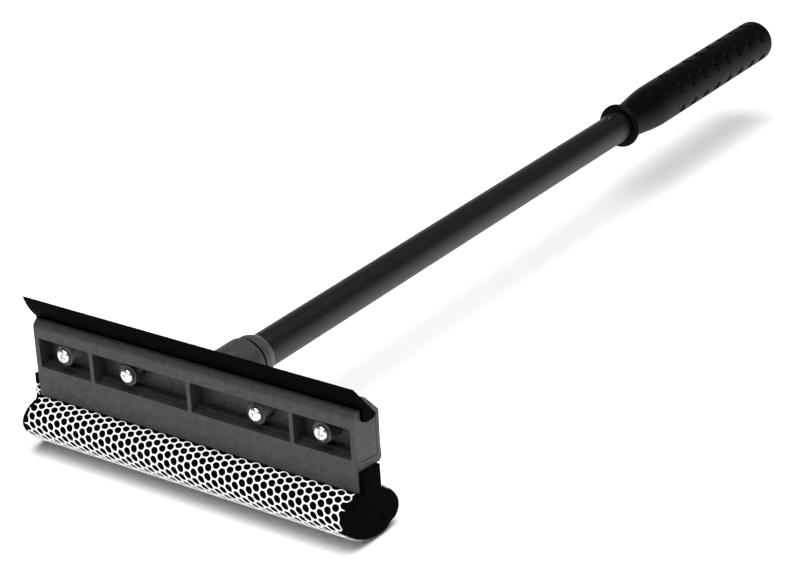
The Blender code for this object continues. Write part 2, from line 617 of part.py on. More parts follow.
def ferrule():
    """The plastic end of the handle: threaded spigot, collar round the tube, plug inside it."""
    socket_floor = COLLAR_START + COLLAR_FLOOR
    collar_end = COLLAR_START + COLLAR_LENGTH
    plug = TUBE_INNER_RADIUS - GAP
    shoulder = []
    for i in range(6):
        t = i / 5
        wall = COLLAR_RIM_WALL + (COLLAR_WALL - COLLAR_RIM_WALL) * math.sin(t * math.pi / 2)
        run = COLLAR_LENGTH - COLLAR_SIDE - COLLAR_RIM_EDGE
        shoulder.append((SOCKET_RADIUS + wall, collar_end - COLLAR_RIM_EDGE - run * t))
    spigot_front = COLLAR_START - SPIGOT_LENGTH
    thread_front = spigot_front + CHAMFER
    thread_back = COLLAR_START - THREAD_RUNOUT
    rows = [(THREAD_ROOT_RADIUS, depth) for depth in thread_depths(thread_front, thread_back)]
    plug_end = TUBE_START + PLUG_LENGTH
    profile = [(0, plug_end), (plug - CHAMFER, plug_end), (plug, plug_end - CHAMFER),
               (plug, socket_floor), (SOCKET_RADIUS, socket_floor), (SOCKET_RADIUS, collar_end)]
    profile += shoulder
    profile += [(COLLAR_RADIUS, COLLAR_START), (THREAD_ROOT_RADIUS, COLLAR_START)] + rows
    profile += [(THREAD_ROOT_RADIUS - CHAMFER, spigot_front), (0, spigot_front)]
    item = turned("handle_ferrule", profile, NYLON)
    add_thread(item, THREAD_ROOT_RADIUS, thread_front, thread_back)
    return item


def washer():
    """The thin washer pinched between the neck's mouth and the collar."""
    front = NECK_END + GAP
    back = front + WASHER_THICKNESS
    inner = THREAD_CREST_RADIUS + GAP
    return turned("ferrule_washer", [(WASHER_RADIUS, back), (WASHER_RADIUS, front),
                                     (inner, front), (inner, back)], RUBBER, closed=True)


def tube():
    """The coated steel tube, with a pressed nib that stops the grip."""
    item = turned("handle_tube", [(TUBE_RADIUS, TUBE_END), (TUBE_RADIUS, TUBE_START),
                                  (TUBE_INNER_RADIUS, TUBE_START), (TUBE_INNER_RADIUS, TUBE_END)],
                  COATED, closed=True)
    bm = bmesh.new()
    made = bmesh.ops.create_uvsphere(bm, u_segments=16, v_segments=8, radius=1)["verts"]
    bmesh.ops.scale(bm, vec=(NIB_WIDTH / 2, NIB_LENGTH / 2, NIB_RISE + NIB_SINK), verts=made)
    centre = (0, GRIP_START - NIB_CLEARANCE, TUBE_RADIUS - NIB_SINK)
    bmesh.ops.translate(bm, vec=centre, verts=made)
    mesh = bpy.data.meshes.new("stop_nib")
    bm.to_mesh(mesh)
    bm.free()
    shape(item, hide_cutter(add_object("stop_nib", mesh, None, HANDLE, CUTTERS)), "UNION")
    return item


def grip_radius(depth):
    """The grip's outer radius behind its flange: a narrow neck that swells to the body."""
    run = (depth - GRIP_START - GRIP_FLANGE_LENGTH) / GRIP_SWELL_LENGTH
    swell = 0.5 - 0.5 * math.cos(math.pi * min(max(run, 0), 1))
    return GRIP_NECK_RADIUS + (GRIP_BODY_RADIUS - GRIP_NECK_RADIUS) * swell


def grip():
    """The dipped grip: flange, swelling body, rounded closed end and rows of dimples."""
    flange_end = GRIP_START + GRIP_FLANGE_LENGTH
    round_centre = (GRIP_BODY_RADIUS - GRIP_END_ROUND, GRIP_END - GRIP_END_ROUND)
    end = arc(round_centre, GRIP_END_ROUND, 90, 0, 6)
    swell = []
    for i in range(9):
        depth = flange_end + GRIP_SWELL_LENGTH * (1 - i / 8)
        swell.append((grip_radius(depth), depth))
    flange = arc((GRIP_FLANGE_RADIUS - GRIP_FLANGE_LENGTH / 2, GRIP_START + GRIP_FLANGE_LENGTH / 2),
                 GRIP_FLANGE_LENGTH / 2, 80, -90, 8)
    profile = [(0, GRIP_END)] + end + swell + flange
    profile += [(SOCKET_RADIUS, GRIP_START), (SOCKET_RADIUS, TUBE_END + GAP), (0, TUBE_END + GAP)]
    item = turned("hand_grip", profile, GRIP_PVC)

    ball = (DIMPLE_RADIUS ** 2 + DIMPLE_DEPTH ** 2) / (2 * DIMPLE_DEPTH)
    bm = bmesh.new()
    for row in range(DIMPLE_ROWS):
        angle = DIMPLE_ROW_ANGLE + row * 2 * math.pi / DIMPLE_ROWS
        for i in range(DIMPLES_PER_ROW):
            depth = GRIP_START + DIMPLE_START + i * DIMPLE_PITCH
            out = grip_radius(depth) + ball - DIMPLE_DEPTH
            made = bmesh.ops.create_icosphere(bm, subdivisions=2, radius=ball)["verts"]
            centre = (out * math.cos(angle), depth, out * math.sin(angle))
            bmesh.ops.translate(bm, vec=centre, verts=made)
    mesh = bpy.data.meshes.new("dimple_cutter")
    bm.to_mesh(mesh)
    bm.free()
    shape(item, hide_cutter(add_object("dimple_cutter", mesh, None, HANDLE, CUTTERS)), "DIFFERENCE")
    return item


front_housing()
rear_housing()
blade()
sponge_core()
sponge_net()
for number in range(len(SCREW_POINTS)):
    smooth_by_angle(screw(number + 1, SCREW_POINTS[number], SCREW_SEATS[number]))
for piece in (ferrule(), washer(), tube(), grip()):
    smooth_by_angle(piece)
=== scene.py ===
# %% [markdown]
# # A window cleaning squeegee
# The tool has a moulded head that clamps a rubber blade and a netted sponge, and a steel tube
# handle that screws into the head's neck. The solid model is loaded first as a fixed frame, and
# every piece made here is placed from it.

# %% Load the frame
import math

import bmesh
import bpy
from mathutils import Matrix, Vector, noise


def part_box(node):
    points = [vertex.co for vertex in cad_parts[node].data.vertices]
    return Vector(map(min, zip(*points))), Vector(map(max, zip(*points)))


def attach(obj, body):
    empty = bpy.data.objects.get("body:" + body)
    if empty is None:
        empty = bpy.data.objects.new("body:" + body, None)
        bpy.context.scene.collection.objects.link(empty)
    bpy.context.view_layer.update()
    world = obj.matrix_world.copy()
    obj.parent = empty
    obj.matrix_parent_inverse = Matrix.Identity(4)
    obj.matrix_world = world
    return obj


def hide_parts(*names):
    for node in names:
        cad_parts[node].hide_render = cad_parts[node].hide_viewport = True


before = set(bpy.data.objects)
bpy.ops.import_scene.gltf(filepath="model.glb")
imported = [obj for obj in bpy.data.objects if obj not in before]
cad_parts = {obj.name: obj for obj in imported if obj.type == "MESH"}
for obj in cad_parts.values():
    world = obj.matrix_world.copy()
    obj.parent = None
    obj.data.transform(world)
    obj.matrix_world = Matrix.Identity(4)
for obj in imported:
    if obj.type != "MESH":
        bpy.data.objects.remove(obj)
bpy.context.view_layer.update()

# %% [markdown]
# ## Sizes shared by the pieces
# Lengths are in metres. The head's front face, the handle's axis and the grip's ends are read
# from the frame, so the pieces follow it when the frame changes.

# %% Shared sizes
MM = 0.001
FACE_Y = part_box("front_housing")[0].y
HEAD_LOW, HEAD_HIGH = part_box("front_housing")
HALF_HEAD = HEAD_HIGH.x
WASHER_LOW, WASHER_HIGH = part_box("ferrule_washer")
AXIS_Z = (WASHER_LOW.z + WASHER_HIGH.z) / 2
TUBE_LOW, TUBE_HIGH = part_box("handle_tube")
GRIP_LOW, GRIP_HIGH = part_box("hand_grip")
print("front face at y", round(FACE_Y, 5), "handle axis at z", round(AXIS_Z, 5))

# %% [markdown]
# ## The camera
# The view looks at the head from its front right and a little above, so the handle runs away to
# the upper right. The three rows are the camera's right, up and back directions.

# %% Camera
CAMERA_ROWS = ((0.82070, 0.56979, -0.04230), (-0.20716, 0.36575, 0.90736),
               (0.53248, -0.73591, 0.41821))
CAMERA_PLACE = Vector((0.7100, FACE_Y - 0.79936, 0.6005))
SENSOR_WIDTH = 36       # camera lengths are in millimetres
FOCAL_LENGTH = 109.19
NEAR_CLIP = 0.01
camera_data = bpy.data.cameras.new("view")
camera_data.sensor_width = SENSOR_WIDTH
camera_data.lens = FOCAL_LENGTH
camera_data.clip_start = NEAR_CLIP
camera = bpy.data.objects.new("view", camera_data)
bpy.context.scene.collection.objects.link(camera)
turned_rows = Matrix(CAMERA_ROWS).transposed().to_4x4()
camera.matrix_world = Matrix.Translation(CAMERA_PLACE) @ turned_rows
bpy.context.scene.camera = camera
print("camera at", [round(value, 3) for value in CAMERA_PLACE])

# %% [markdown]
# ## Helpers for finishes
# A colour is written as the hex value that a paint chart or a screen shows, and turned to the
# linear value that the renderer works in. One small function adds a node, sets it and links it.

# %% Finish helpers
def linear(hex_colour):
    """The linear RGBA of an sRGB hex colour such as "3A3B3C"."""
    values = [int(hex_colour[i:i + 2], 16) / 255 for i in (0, 2, 4)]
    return [v / 12.92 if v <= 0.04045 else ((v + 0.055) / 1.055) ** 2.4 for v in values] + [1.0]


def add_node(tree, kind, inputs=None, **settings):
    """Adds a node; an input's value may be a plain value or another node's output to link."""
    node = tree.nodes.new(kind)
    for name, value in settings.items():
        setattr(node, name, value)
    for key, value in (inputs or {}).items():
        socket = node.inputs[key]
        if isinstance(value, bpy.types.NodeSocket):
            tree.links.new(value, socket)
        else:
            socket.default_value = value
    return node


def new_finish(name, colour, roughness, metallic=0.0, ior=None):
    """A material with its plain values set; returns the material, its tree and its shader."""
    material = bpy.data.materials.new(name)
    material.use_nodes = True
    shader = material.node_tree.nodes["Principled BSDF"]
    shader.inputs["Base Color"].default_value = linear(colour)
    shader.inputs["Roughness"].default_value = roughness
    shader.inputs["Metallic"].default_value = metallic
    if ior:
        shader.inputs["IOR"].default_value = ior
    print(name, "colour", colour, "roughness", roughness)
    return material, material.node_tree, shader


def mottle(tree, shader, dark, light, patch, contrast=0.35):
    """Uneven colour: two near shades blended by a soft noise whose patches have the given size."""
    place = add_node(tree, "ShaderNodeTexCoord").outputs["Object"]
    cloud = add_node(tree, "ShaderNodeTexNoise", {"Vector": place, "Scale": 1 / patch, "Detail": 3.0})
    spread = add_node(tree, "ShaderNodeMapRange", {
        "Value": cloud.outputs["Fac"], "From Min": 0.5 - contrast / 2, "From Max": 0.5 + contrast / 2})
    blend = add_node(tree, "ShaderNodeMix", {
        "Factor": spread.outputs["Result"], "A": linear(dark), "B": linear(light)}, data_type="RGBA")
    tree.links.new(blend.outputs["Result"], shader.inputs["Base Color"])
    return place


def grain(tree, shader, place, size, depth, roughness=None):
    """A fine bumpy surface: noise bumps of the given size and depth, and roughness that varies."""
    bumps = add_node(tree, "ShaderNodeTexNoise", {"Vector": place, "Scale": 1 / size, "Detail": 4.0})
    bump = add_node(tree, "ShaderNodeBump", {
        "Height": bumps.outputs["Fac"], "Distance": depth, "Strength": 1.0})
    tree.links.new(bump.outputs["Normal"], shader.inputs["Normal"])
    if roughness:
        vary = add_node(tree, "ShaderNodeMapRange", {
            "Value": bumps.outputs["Fac"], "From Min": 0.35, "From Max": 0.65,
            "To Min": roughness[0], "To Max": roughness[1]})
        tree.links.new(vary.outputs["Result"], shader.inputs["Roughness"])
    return bumps


# %% [markdown]
# ## Moulded polypropylene
# The head is injection moulded from charcoal polypropylene. The steel mould was spark eroded, so
# the skin is satin, with a shallow grain a little under a millimetre across that spreads each
# highlight. The pigment flows unevenly and leaves patches a few millimetres wide.

# %% Moulded polypropylene
moulded_polypropylene, tree, shader = new_finish("moulded_polypropylene", "262727", 0.5, ior=1.49)
place = mottle(tree, shader, "1D1E1E", "2B2D2D", 3 * MM)
grain(tree, shader, place, 0.9 * MM, 0.05 * MM, (0.42, 0.62))

# %% [markdown]
# ## Moulded nylon
# The handle's ferrule is glass-filled nylon. The fibres near its skin make it a little paler than
# the head, and its polished mould leaves it a little smoother, so the collar stands out.

# %% Moulded nylon
moulded_nylon, tree, shader = new_finish("moulded_glass_filled_nylon", "2A2B2B", 0.45, ior=1.53)
place = mottle(tree, shader, "272828", "2F3131", 8 * MM)
grain(tree, shader, place, 0.8 * MM, 0.03 * MM, (0.38, 0.52))

# %% [markdown]
# ## Extruded rubber
# The blade and the washer are natural rubber filled with carbon black, extruded and cut. It is
# smooth and nearly black. Its specular level is set well below rubber's own, so that it stays
# flat black in soft light and the blade reads as one dark band.

# %% Extruded rubber
extruded_rubber, tree, shader = new_finish("extruded_natural_rubber", "020202", 0.7, ior=1.52)
shader.inputs["Specular IOR Level"].default_value = 0.015
place = mottle(tree, shader, "010101", "030303", 12 * MM)
grain(tree, shader, place, 1.2 * MM, 0.01 * MM, (0.64, 0.76))

# %% [markdown]
# ## Cut polyurethane foam
# The sponge is black reticulated foam, cut with a wire. Its open cells are about 0.8 mm across. A
# cell pattern gives each one a pit, and the colour is painted darker towards each pit's middle as
# painted shade, since the light that falls in doesn't come back. For that reason the specular
# level is almost nothing.

# %% Cut polyurethane foam
cut_foam, tree, shader = new_finish("cut_polyurethane_foam", "070708", 1.0, ior=1.35)
shader.inputs["Specular IOR Level"].default_value = 0.05
FOAM_CELL = 0.8 * MM
FOAM_PIT = 0.4 * MM
place = add_node(tree, "ShaderNodeTexCoord").outputs["Object"]
cells = add_node(tree, "ShaderNodeTexVoronoi", {"Vector": place, "Scale": 1 / FOAM_CELL})
# painted shade: the colour goes darker towards each cell's middle, where its pit lies
painted_pit_shade = add_node(tree, "ShaderNodeMix", {
    "Factor": cells.outputs["Distance"], "A": linear("010101"), "B": linear("070708")},
    data_type="RGBA")
bump = add_node(tree, "ShaderNodeBump", {
    "Height": cells.outputs["Distance"], "Distance": FOAM_PIT, "Strength": 1.0})
tree.links.new(painted_pit_shade.outputs["Result"], shader.inputs["Base Color"])
tree.links.new(bump.outputs["Normal"], shader.inputs["Normal"])

# %% [markdown]
# ## Knitted polyester net
# White polyester yarn, knitted into an open mesh. Its filaments catch the light as a fine grain
# and a soft sheen, and the white varies slightly from stitch to stitch.

# %% Knitted polyester net
knitted_polyester, tree, shader = new_finish("knitted_polyester_net", "F4F4F2", 0.6, ior=1.57)
shader.inputs["Sheen Weight"].default_value = 0.25
place = mottle(tree, shader, "E6E6E3", "FBFBF9", 3 * MM)
grain(tree, shader, place, 0.35 * MM, 0.06 * MM)

# %% [markdown]
# ## Zinc-plated steel
# The screws are cold-headed steel with bright zinc plate: a clean pale grey metal, with fine marks
# from the tumbling that scatter the highlight.

# %% Zinc-plated steel
zinc_plate, tree, shader = new_finish("bright_zinc_plated_steel", "E2E4E6", 0.24, metallic=1.0)
place = add_node(tree, "ShaderNodeTexCoord").outputs["Object"]
grain(tree, shader, place, 0.7 * MM, 0.02 * MM, (0.16, 0.32))

# %% [markdown]
# ## Powder-coated steel
# The tube is drawn steel with a satin black powder coat, which settles into a very faint orange
# peel and brightens towards its edges where it is seen at a slant. Its specular level is set below
# the coat's own, so that the black stays deep.

# %% Powder-coated steel
powder_coat, tree, shader = new_finish("satin_powder_coated_steel", "080809", 0.42, ior=1.5)
shader.inputs["Specular IOR Level"].default_value = 0.3
place = mottle(tree, shader, "070708", "0A0A0B", 10 * MM)
grain(tree, shader, place, 1.6 * MM, 0.02 * MM, (0.36, 0.46))

# %% [markdown]
# ## Moulded vinyl
# The grip is soft black vinyl, moulded and slipped over the tube. It has a slightly greasy half
# gloss and a shallow unevenness from its own shrinking. Its specular level is set below vinyl's
# own, so that it stays as dark as the blade.

# %% Moulded vinyl
moulded_vinyl, tree, shader = new_finish("moulded_soft_vinyl", "020303", 0.42, ior=1.53)
shader.inputs["Specular IOR Level"].default_value = 0.05
place = mottle(tree, shader, "010202", "030404", 9 * MM)
grain(tree, shader, place, 2.5 * MM, 0.03 * MM, (0.36, 0.48))

# %% [markdown]
# ## Putting a piece in the scene
# A finished mesh becomes an object at the origin. It rides on one of the tool's three bodies (the
# head, the handle or the washer) and stands in for its frame nodes.

# %% Putting a piece in the scene
def place_piece(name, mesh, body, nodes):
    """Puts a finished mesh in the scene, on its body, in place of its frame nodes."""
    piece = bpy.data.objects.new(name, mesh)
    bpy.context.scene.collection.objects.link(piece)
    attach(piece, body)
    if nodes:
        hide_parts(*nodes)
    print(name, "has", len(mesh.polygons), "faces")
    return piece

# %% [markdown]
# ## The head's mouldings
# The frame's solids have knife-sharp edges. A real mould leaves every edge slightly rounded, and
# that thin bright line is what makes plastic look moulded. Each moulding is copied, its loose
# triangles are merged into flat faces, and only its long clear edges are rounded, because tiny
# facets such as a screw thread would tear. A weighted-normal modifier keeps its broad faces flat
# to the eye. The ferrule and the washer keep the edges they have in the frame.

# %% Softened copies
WELD = 0.004 * MM
SLIVER = 0.01 * MM
FLAT_ANGLE = math.radians(0.6)
EDGE_ANGLE = math.radians(30)
COPY_SHARP_ANGLE = math.radians(38)
FRONT_EDGE, REAR_EDGE, BLADE_EDGE = 0.3 * MM, 0.25 * MM, 0.12 * MM
NECK_RADIUS = 12.5 * MM
NECK_START = FACE_Y + 18 * MM


def softened_copy(node, name, finish, body, edge_radius=0.0, shortest=1.5 * MM, spare=None):
    """Copies a frame solid, merges it, rounds its long sharp edges and stands in for the node."""
    mesh = bpy.data.objects[node].data.copy()
    mesh.name = name
    bm = bmesh.new()
    bm.from_mesh(mesh)
    bmesh.ops.remove_doubles(bm, verts=bm.verts, dist=WELD)
    bmesh.ops.dissolve_limit(bm, angle_limit=FLAT_ANGLE, verts=bm.verts, edges=bm.edges)
    sharp = []
    for edge in bm.edges:
        if len(edge.link_faces) != 2 or edge.calc_face_angle(0) < EDGE_ANGLE:
            continue
        middle = (edge.verts[0].co + edge.verts[1].co) / 2
        if edge.calc_length() > shortest and not (spare and spare(middle)):
            sharp.append(edge)
    if edge_radius:
        bmesh.ops.bevel(bm, geom=sharp, offset=edge_radius, segments=2, profile=0.5,
                        affect="EDGES", clamp_overlap=True)
    bmesh.ops.dissolve_degenerate(bm, dist=SLIVER, edges=bm.edges)
    bm.to_mesh(mesh)
    bm.free()
    mesh.materials.clear()
    mesh.materials.append(finish)
    mesh.shade_smooth()
    mesh.set_sharp_from_angle(angle=COPY_SHARP_ANGLE)
    piece = place_piece(name, mesh, body, [node])
    shading = piece.modifiers.new("even_shading", "WEIGHTED_NORMAL")
    shading.keep_sharp = True
    print("  with", len(sharp) if edge_radius else 0, "edges rounded")


def in_neck(point):
    """True inside the neck, whose thread has edges too fine to round."""
    off_axis = math.hypot(point.x, point.z - AXIS_Z)
    return off_axis < NECK_RADIUS and point.y > NECK_START


softened_copy("front_housing", "front_moulding", moulded_polypropylene, "head",
              FRONT_EDGE)
softened_copy("rear_housing", "rear_moulding", moulded_polypropylene, "head",
              REAR_EDGE, 2 * MM, in_neck)
softened_copy("squeegee_blade", "rubber_blade", extruded_rubber, "head",
              BLADE_EDGE)
softened_copy("handle_ferrule", "threaded_ferrule", moulded_nylon, "handle")
softened_copy("ferrule_washer", "neck_washer", extruded_rubber, "washer")

# %% [markdown]
# ## Turned pieces
# The pin marks, the tube, the grip and the screws are all round about an axis, so they share one
# helper. It sweeps a list of (radius, distance) points round the axis. A body that reaches the
# axis is closed there with one point, and a hollow one is closed back to its first ring.
# A bulge function may push single points in or out, for the tube's nib and the grip's dimples.

# %% Turned piece helper
ON_AXIS = 1e-7
TURNED_SHARP_ANGLE = math.radians(40)


def turned_mesh(name, profile, steps, centre, finish, bulge=None, closed=False):
    """A closed round body about a line along Y through centre; profile runs back to front."""
    bm = bmesh.new()
    rings = []
    for radius, distance in profile:
        if radius < ON_AXIS:
            rings.append([bm.verts.new((centre[0], distance, centre[1]))])
            continue
        ring = []
        for i in range(steps):
            angle = 2 * math.pi * i / steps
            wide = radius + (bulge(angle, radius, distance) if bulge else 0)
            ring.append(bm.verts.new((centre[0] + wide * math.cos(angle), distance,
                                      centre[1] + wide * math.sin(angle))))
        rings.append(ring)
    pairs = list(zip(rings, rings[1:])) + ([(rings[-1], rings[0])] if closed else [])
    for first, second in pairs:
        for i in range(steps):
            j = (i + 1) % steps
            if len(first) == 1:
                bm.faces.new((first[0], second[j], second[i]))
            elif len(second) == 1:
                bm.faces.new((first[i], first[j], second[0]))
            else:
                bm.faces.new((first[i], first[j], second[j], second[i]))
    bmesh.ops.recalc_face_normals(bm, faces=bm.faces)
    mesh = bpy.data.meshes.new(name)
    bm.to_mesh(mesh)
    bm.free()
    mesh.materials.append(finish)
    mesh.shade_smooth()
    mesh.set_sharp_from_angle(angle=TURNED_SHARP_ANGLE)
    return mesh


def spaced(start, end, step):
    """Evenly spaced distances from start to end, near the given step."""
    count = max(1, round(abs(end - start) / step))
    return [start + (end - start) * i / count for i in range(count + 1)]


# %% [markdown]
# ## Ejector pin marks
# The pins that push the front moulding out of its mould leave thin raised rings on the floors of
# the bays. They stand a sixth of a millimetre proud, just enough to catch the light.

# %% Ejector pin marks
RECESS_FLOOR_Y = FACE_Y + 9.5 * MM
MARK_GAP = 0.01 * MM
MARK_RADIUS = 3.2 * MM
MARK_WIDTH = 0.3 * MM
MARK_RISE = 0.16 * MM
MARK_HEIGHT = 54.4 * MM
MARK_STEPS = 48
MARK_PLACES = (-92.5 * MM, -52.9 * MM, -16.4 * MM, 16.4 * MM, 52.9 * MM, 92.5 * MM)
mark_back = RECESS_FLOOR_Y - MARK_GAP
mark_front = mark_back - MARK_RISE
mark_profile = [(MARK_RADIUS, mark_back), (MARK_RADIUS - MARK_WIDTH * 0.25, mark_front),
                (MARK_RADIUS - MARK_WIDTH * 0.75, mark_front), (MARK_RADIUS - MARK_WIDTH, mark_back)]
for index, x in enumerate(MARK_PLACES):
    mark_mesh = turned_mesh("pin_mark_%d" % (index + 1), mark_profile, MARK_STEPS, (x, MARK_HEIGHT),
                            moulded_polypropylene, closed=True)
    place_piece(mark_mesh.name, mark_mesh, "head", [])

# %% [markdown]
# ## The handle tube
# A drawn steel tube. A nib is pressed up in its top just in front of the grip and stops the grip
# creeping forward. The tube's outer rims are bevelled a little, as a cut and tumbled tube's are.

# %% Handle tube
TUBE_RADIUS = (TUBE_HIGH.x - TUBE_LOW.x) / 2
TUBE_WALL = 1.2 * MM
NIB_CENTRE = GRIP_LOW.y - 7.5 * MM
NIB_HALF = (2.5 * MM, 4.5 * MM)    # half its width, half its length
NIB_RISE = 0.8 * MM
NIB_STEEPNESS = 3       # how steeply the nib's sides rise
NIB_MOAT = 0.3 * MM     # the metal sinks a little round the nib, where the punch dragged it
MOAT_REACH = 0.5        # how far the sunk ring goes, in the oval's own squared measure
RIM = 0.25 * MM
FINE_STEP = 0.4 * MM
COARSE_STEP = 20 * MM
TUBE_STEPS = 192


def nib_bulge(angle, radius, distance):
    """Height of the pressed nib at a point of the tube's outside; the tube's top is at 90 degrees."""
    if radius < TUBE_RADIUS - TUBE_WALL / 2:
        return 0
    across = (angle - math.pi / 2) * radius / NIB_HALF[0]
    along = (distance - NIB_CENTRE) / NIB_HALF[1]
    inside = 1 - across ** 2 - along ** 2
    if inside > 0:
        return NIB_RISE * min(1, NIB_STEEPNESS * inside)
    return -NIB_MOAT if inside > -MOAT_REACH else 0


nib_start = NIB_CENTRE - NIB_HALF[1] - MM
tube_outside = [(TUBE_RADIUS - RIM, TUBE_HIGH.y), (TUBE_RADIUS, TUBE_HIGH.y - RIM)]
tube_outside += [(TUBE_RADIUS, y) for y in spaced(GRIP_LOW.y, nib_start, FINE_STEP)]
tube_outside += [(TUBE_RADIUS, y) for y in spaced(nib_start - 2 * MM, TUBE_LOW.y + RIM, COARSE_STEP)]
tube_inner = TUBE_RADIUS - TUBE_WALL
tube_profile = tube_outside + [(TUBE_RADIUS - RIM, TUBE_LOW.y), (tube_inner, TUBE_LOW.y),
                               (tube_inner, TUBE_HIGH.y)]
tube_mesh = turned_mesh("steel_tube", tube_profile, TUBE_STEPS, (0, AXIS_Z), powder_coat,
                        nib_bulge, closed=True)
place_piece("steel_tube", tube_mesh, "handle", ["handle_tube"])

# %% [markdown]
# ## The grip
# A moulded sleeve with a rounded flange, a narrow neck and a fuller body with six rows of round
# dimples that keep a wet hand from slipping. The dimples are pressed into a fine turned surface
# by the bulge function, with a soft edge all round, as the mould's pegs leave them.

# %% Hand grip
GRIP_START, GRIP_END = GRIP_LOW.y, GRIP_HIGH.y
SOCKET_GAP = 0.3 * MM
SOCKET_RADIUS = TUBE_RADIUS + SOCKET_GAP
GRIP_BODY_RADIUS = (GRIP_HIGH.x - GRIP_LOW.x) / 2
GRIP_NECK_RADIUS = SOCKET_RADIUS + 0.9 * MM
FLANGE_LENGTH = 4.4 * MM
SWELL_LENGTH = 40 * MM
END_ROUND = 5 * MM
DIMPLE_ROWS = 6
DIMPLES_PER_ROW = 8
DIMPLE_START = GRIP_START + 60 * MM
DIMPLE_FINISH = GRIP_END - 15.4 * MM
DIMPLE_STEP = (DIMPLE_FINISH - DIMPLE_START) / (DIMPLES_PER_ROW - 1)
DIMPLE_RADIUS = 3.5 * MM
DIMPLE_DEPTH = 1.0 * MM
DIMPLE_WALL = 0.22      # the sloping wall's share of the dimple's radius
DIMPLE_ROW_ANGLE = math.radians(35)
GRIP_ROW_STEP = 0.45 * MM
GRIP_STEPS = 180
END_ARC_STEPS = 12
FLANGE_ARC_STEPS = 16


def grip_radius(distance):
    """The grip's radius behind its flange: a narrow neck that swells to the body."""
    run = (distance - GRIP_START - FLANGE_LENGTH) / SWELL_LENGTH
    swell = 0.5 - 0.5 * math.cos(math.pi * min(max(run, 0), 1))
    return GRIP_NECK_RADIUS + (GRIP_BODY_RADIUS - GRIP_NECK_RADIUS) * swell


def dimple(angle, radius, distance):
    """How far a dimple draws the surface in at a point; zero between dimples."""
    if radius < GRIP_NECK_RADIUS or distance < GRIP_START + FLANGE_LENGTH:
        return 0
    row_step = 2 * math.pi / DIMPLE_ROWS
    turn = (angle - DIMPLE_ROW_ANGLE + row_step / 2) % row_step - row_step / 2
    number = min(max(round((distance - DIMPLE_START) / DIMPLE_STEP), 0), DIMPLES_PER_ROW - 1)
    along = distance - DIMPLE_START - number * DIMPLE_STEP
    reach = math.hypot(turn * radius, along) / DIMPLE_RADIUS
    if reach >= 1:
        return 0
    wall = min(1, (1 - reach) / DIMPLE_WALL)
    return -DIMPLE_DEPTH * wall * wall * (3 - 2 * wall)


end_arc = []
for i in range(END_ARC_STEPS + 1):
    swing = math.radians(90 - 90 * i / END_ARC_STEPS)
    end_arc.append((GRIP_BODY_RADIUS - END_ROUND + END_ROUND * math.cos(swing),
                    GRIP_END - END_ROUND + END_ROUND * math.sin(swing)))
flange_half = FLANGE_LENGTH / 2
flange_arc = []
for i in range(FLANGE_ARC_STEPS + 1):
    swing = math.radians(80 - 170 * i / FLANGE_ARC_STEPS)
    flange_arc.append((GRIP_BODY_RADIUS - flange_half + flange_half * math.cos(swing),
                       GRIP_START + flange_half + flange_half * math.sin(swing)))
body_line = [(grip_radius(y), y) for y in spaced(GRIP_END - END_ROUND - MM / 2,
                                                 GRIP_START + FLANGE_LENGTH, GRIP_ROW_STEP)]
grip_profile = [(0, GRIP_END)] + end_arc + body_line + flange_arc
grip_profile += [(SOCKET_RADIUS, GRIP_START), (SOCKET_RADIUS, TUBE_HIGH.y + SOCKET_GAP),
                 (0, TUBE_HIGH.y + SOCKET_GAP)]
grip_mesh = turned_mesh("vinyl_grip", grip_profile, GRIP_STEPS, (0, AXIS_Z), moulded_vinyl, dimple)
place_piece("vinyl_grip", grip_mesh, "handle", ["hand_grip"])

# %% [markdown]
# ## The four screws
# Zinc-plated pan-head screws hold the two mouldings together. One screw is turned with its
# threads as rings, which are hidden once it is in, and a cross is pressed into its crown by
# moving the crown's points. Geometry Nodes then sets a copy on each of four points, and a seeded
# turn about the axis leaves every cross at its own angle, as a screwdriver does.

# %% One screw
HEAD_RADIUS = 3.8 * MM
HEAD_HEIGHT = 2.1 * MM
SHANK_RADIUS = 1.8 * MM
THREAD_RADIUS = 2.12 * MM
THREAD_PITCH = 2.1 * MM
CROSS_ARM = 2.3 * MM
CROSS_HALF_WIDTH = 0.5 * MM
CROSS_DEPTH = 1.1 * MM
CROSS_WALL = 0.1 * MM
CROSS_SLOPE = 1.2 * MM
CROWN_DROP = 1.15 * MM
CROWN_STEPS = 40
CROWN_DEPTH = 1.2 * MM    # only points further out than this are part of the crown
HEAD_SIDE = 0.9 * MM
SEAT_BEVEL = 0.1 * MM
SEAT_BEVEL_HEIGHT = 0.12 * MM
TIP_LENGTH = 2.4 * MM
TIP_RADIUS = 1.45 * MM
PLAIN_SHANK = 1.5 * MM
THREAD_FOOT = 0.2 * MM
SCREW_STEPS = 72
low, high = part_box("housing_screw_1")
SCREW_LENGTH = high.y - low.y - HEAD_HEIGHT


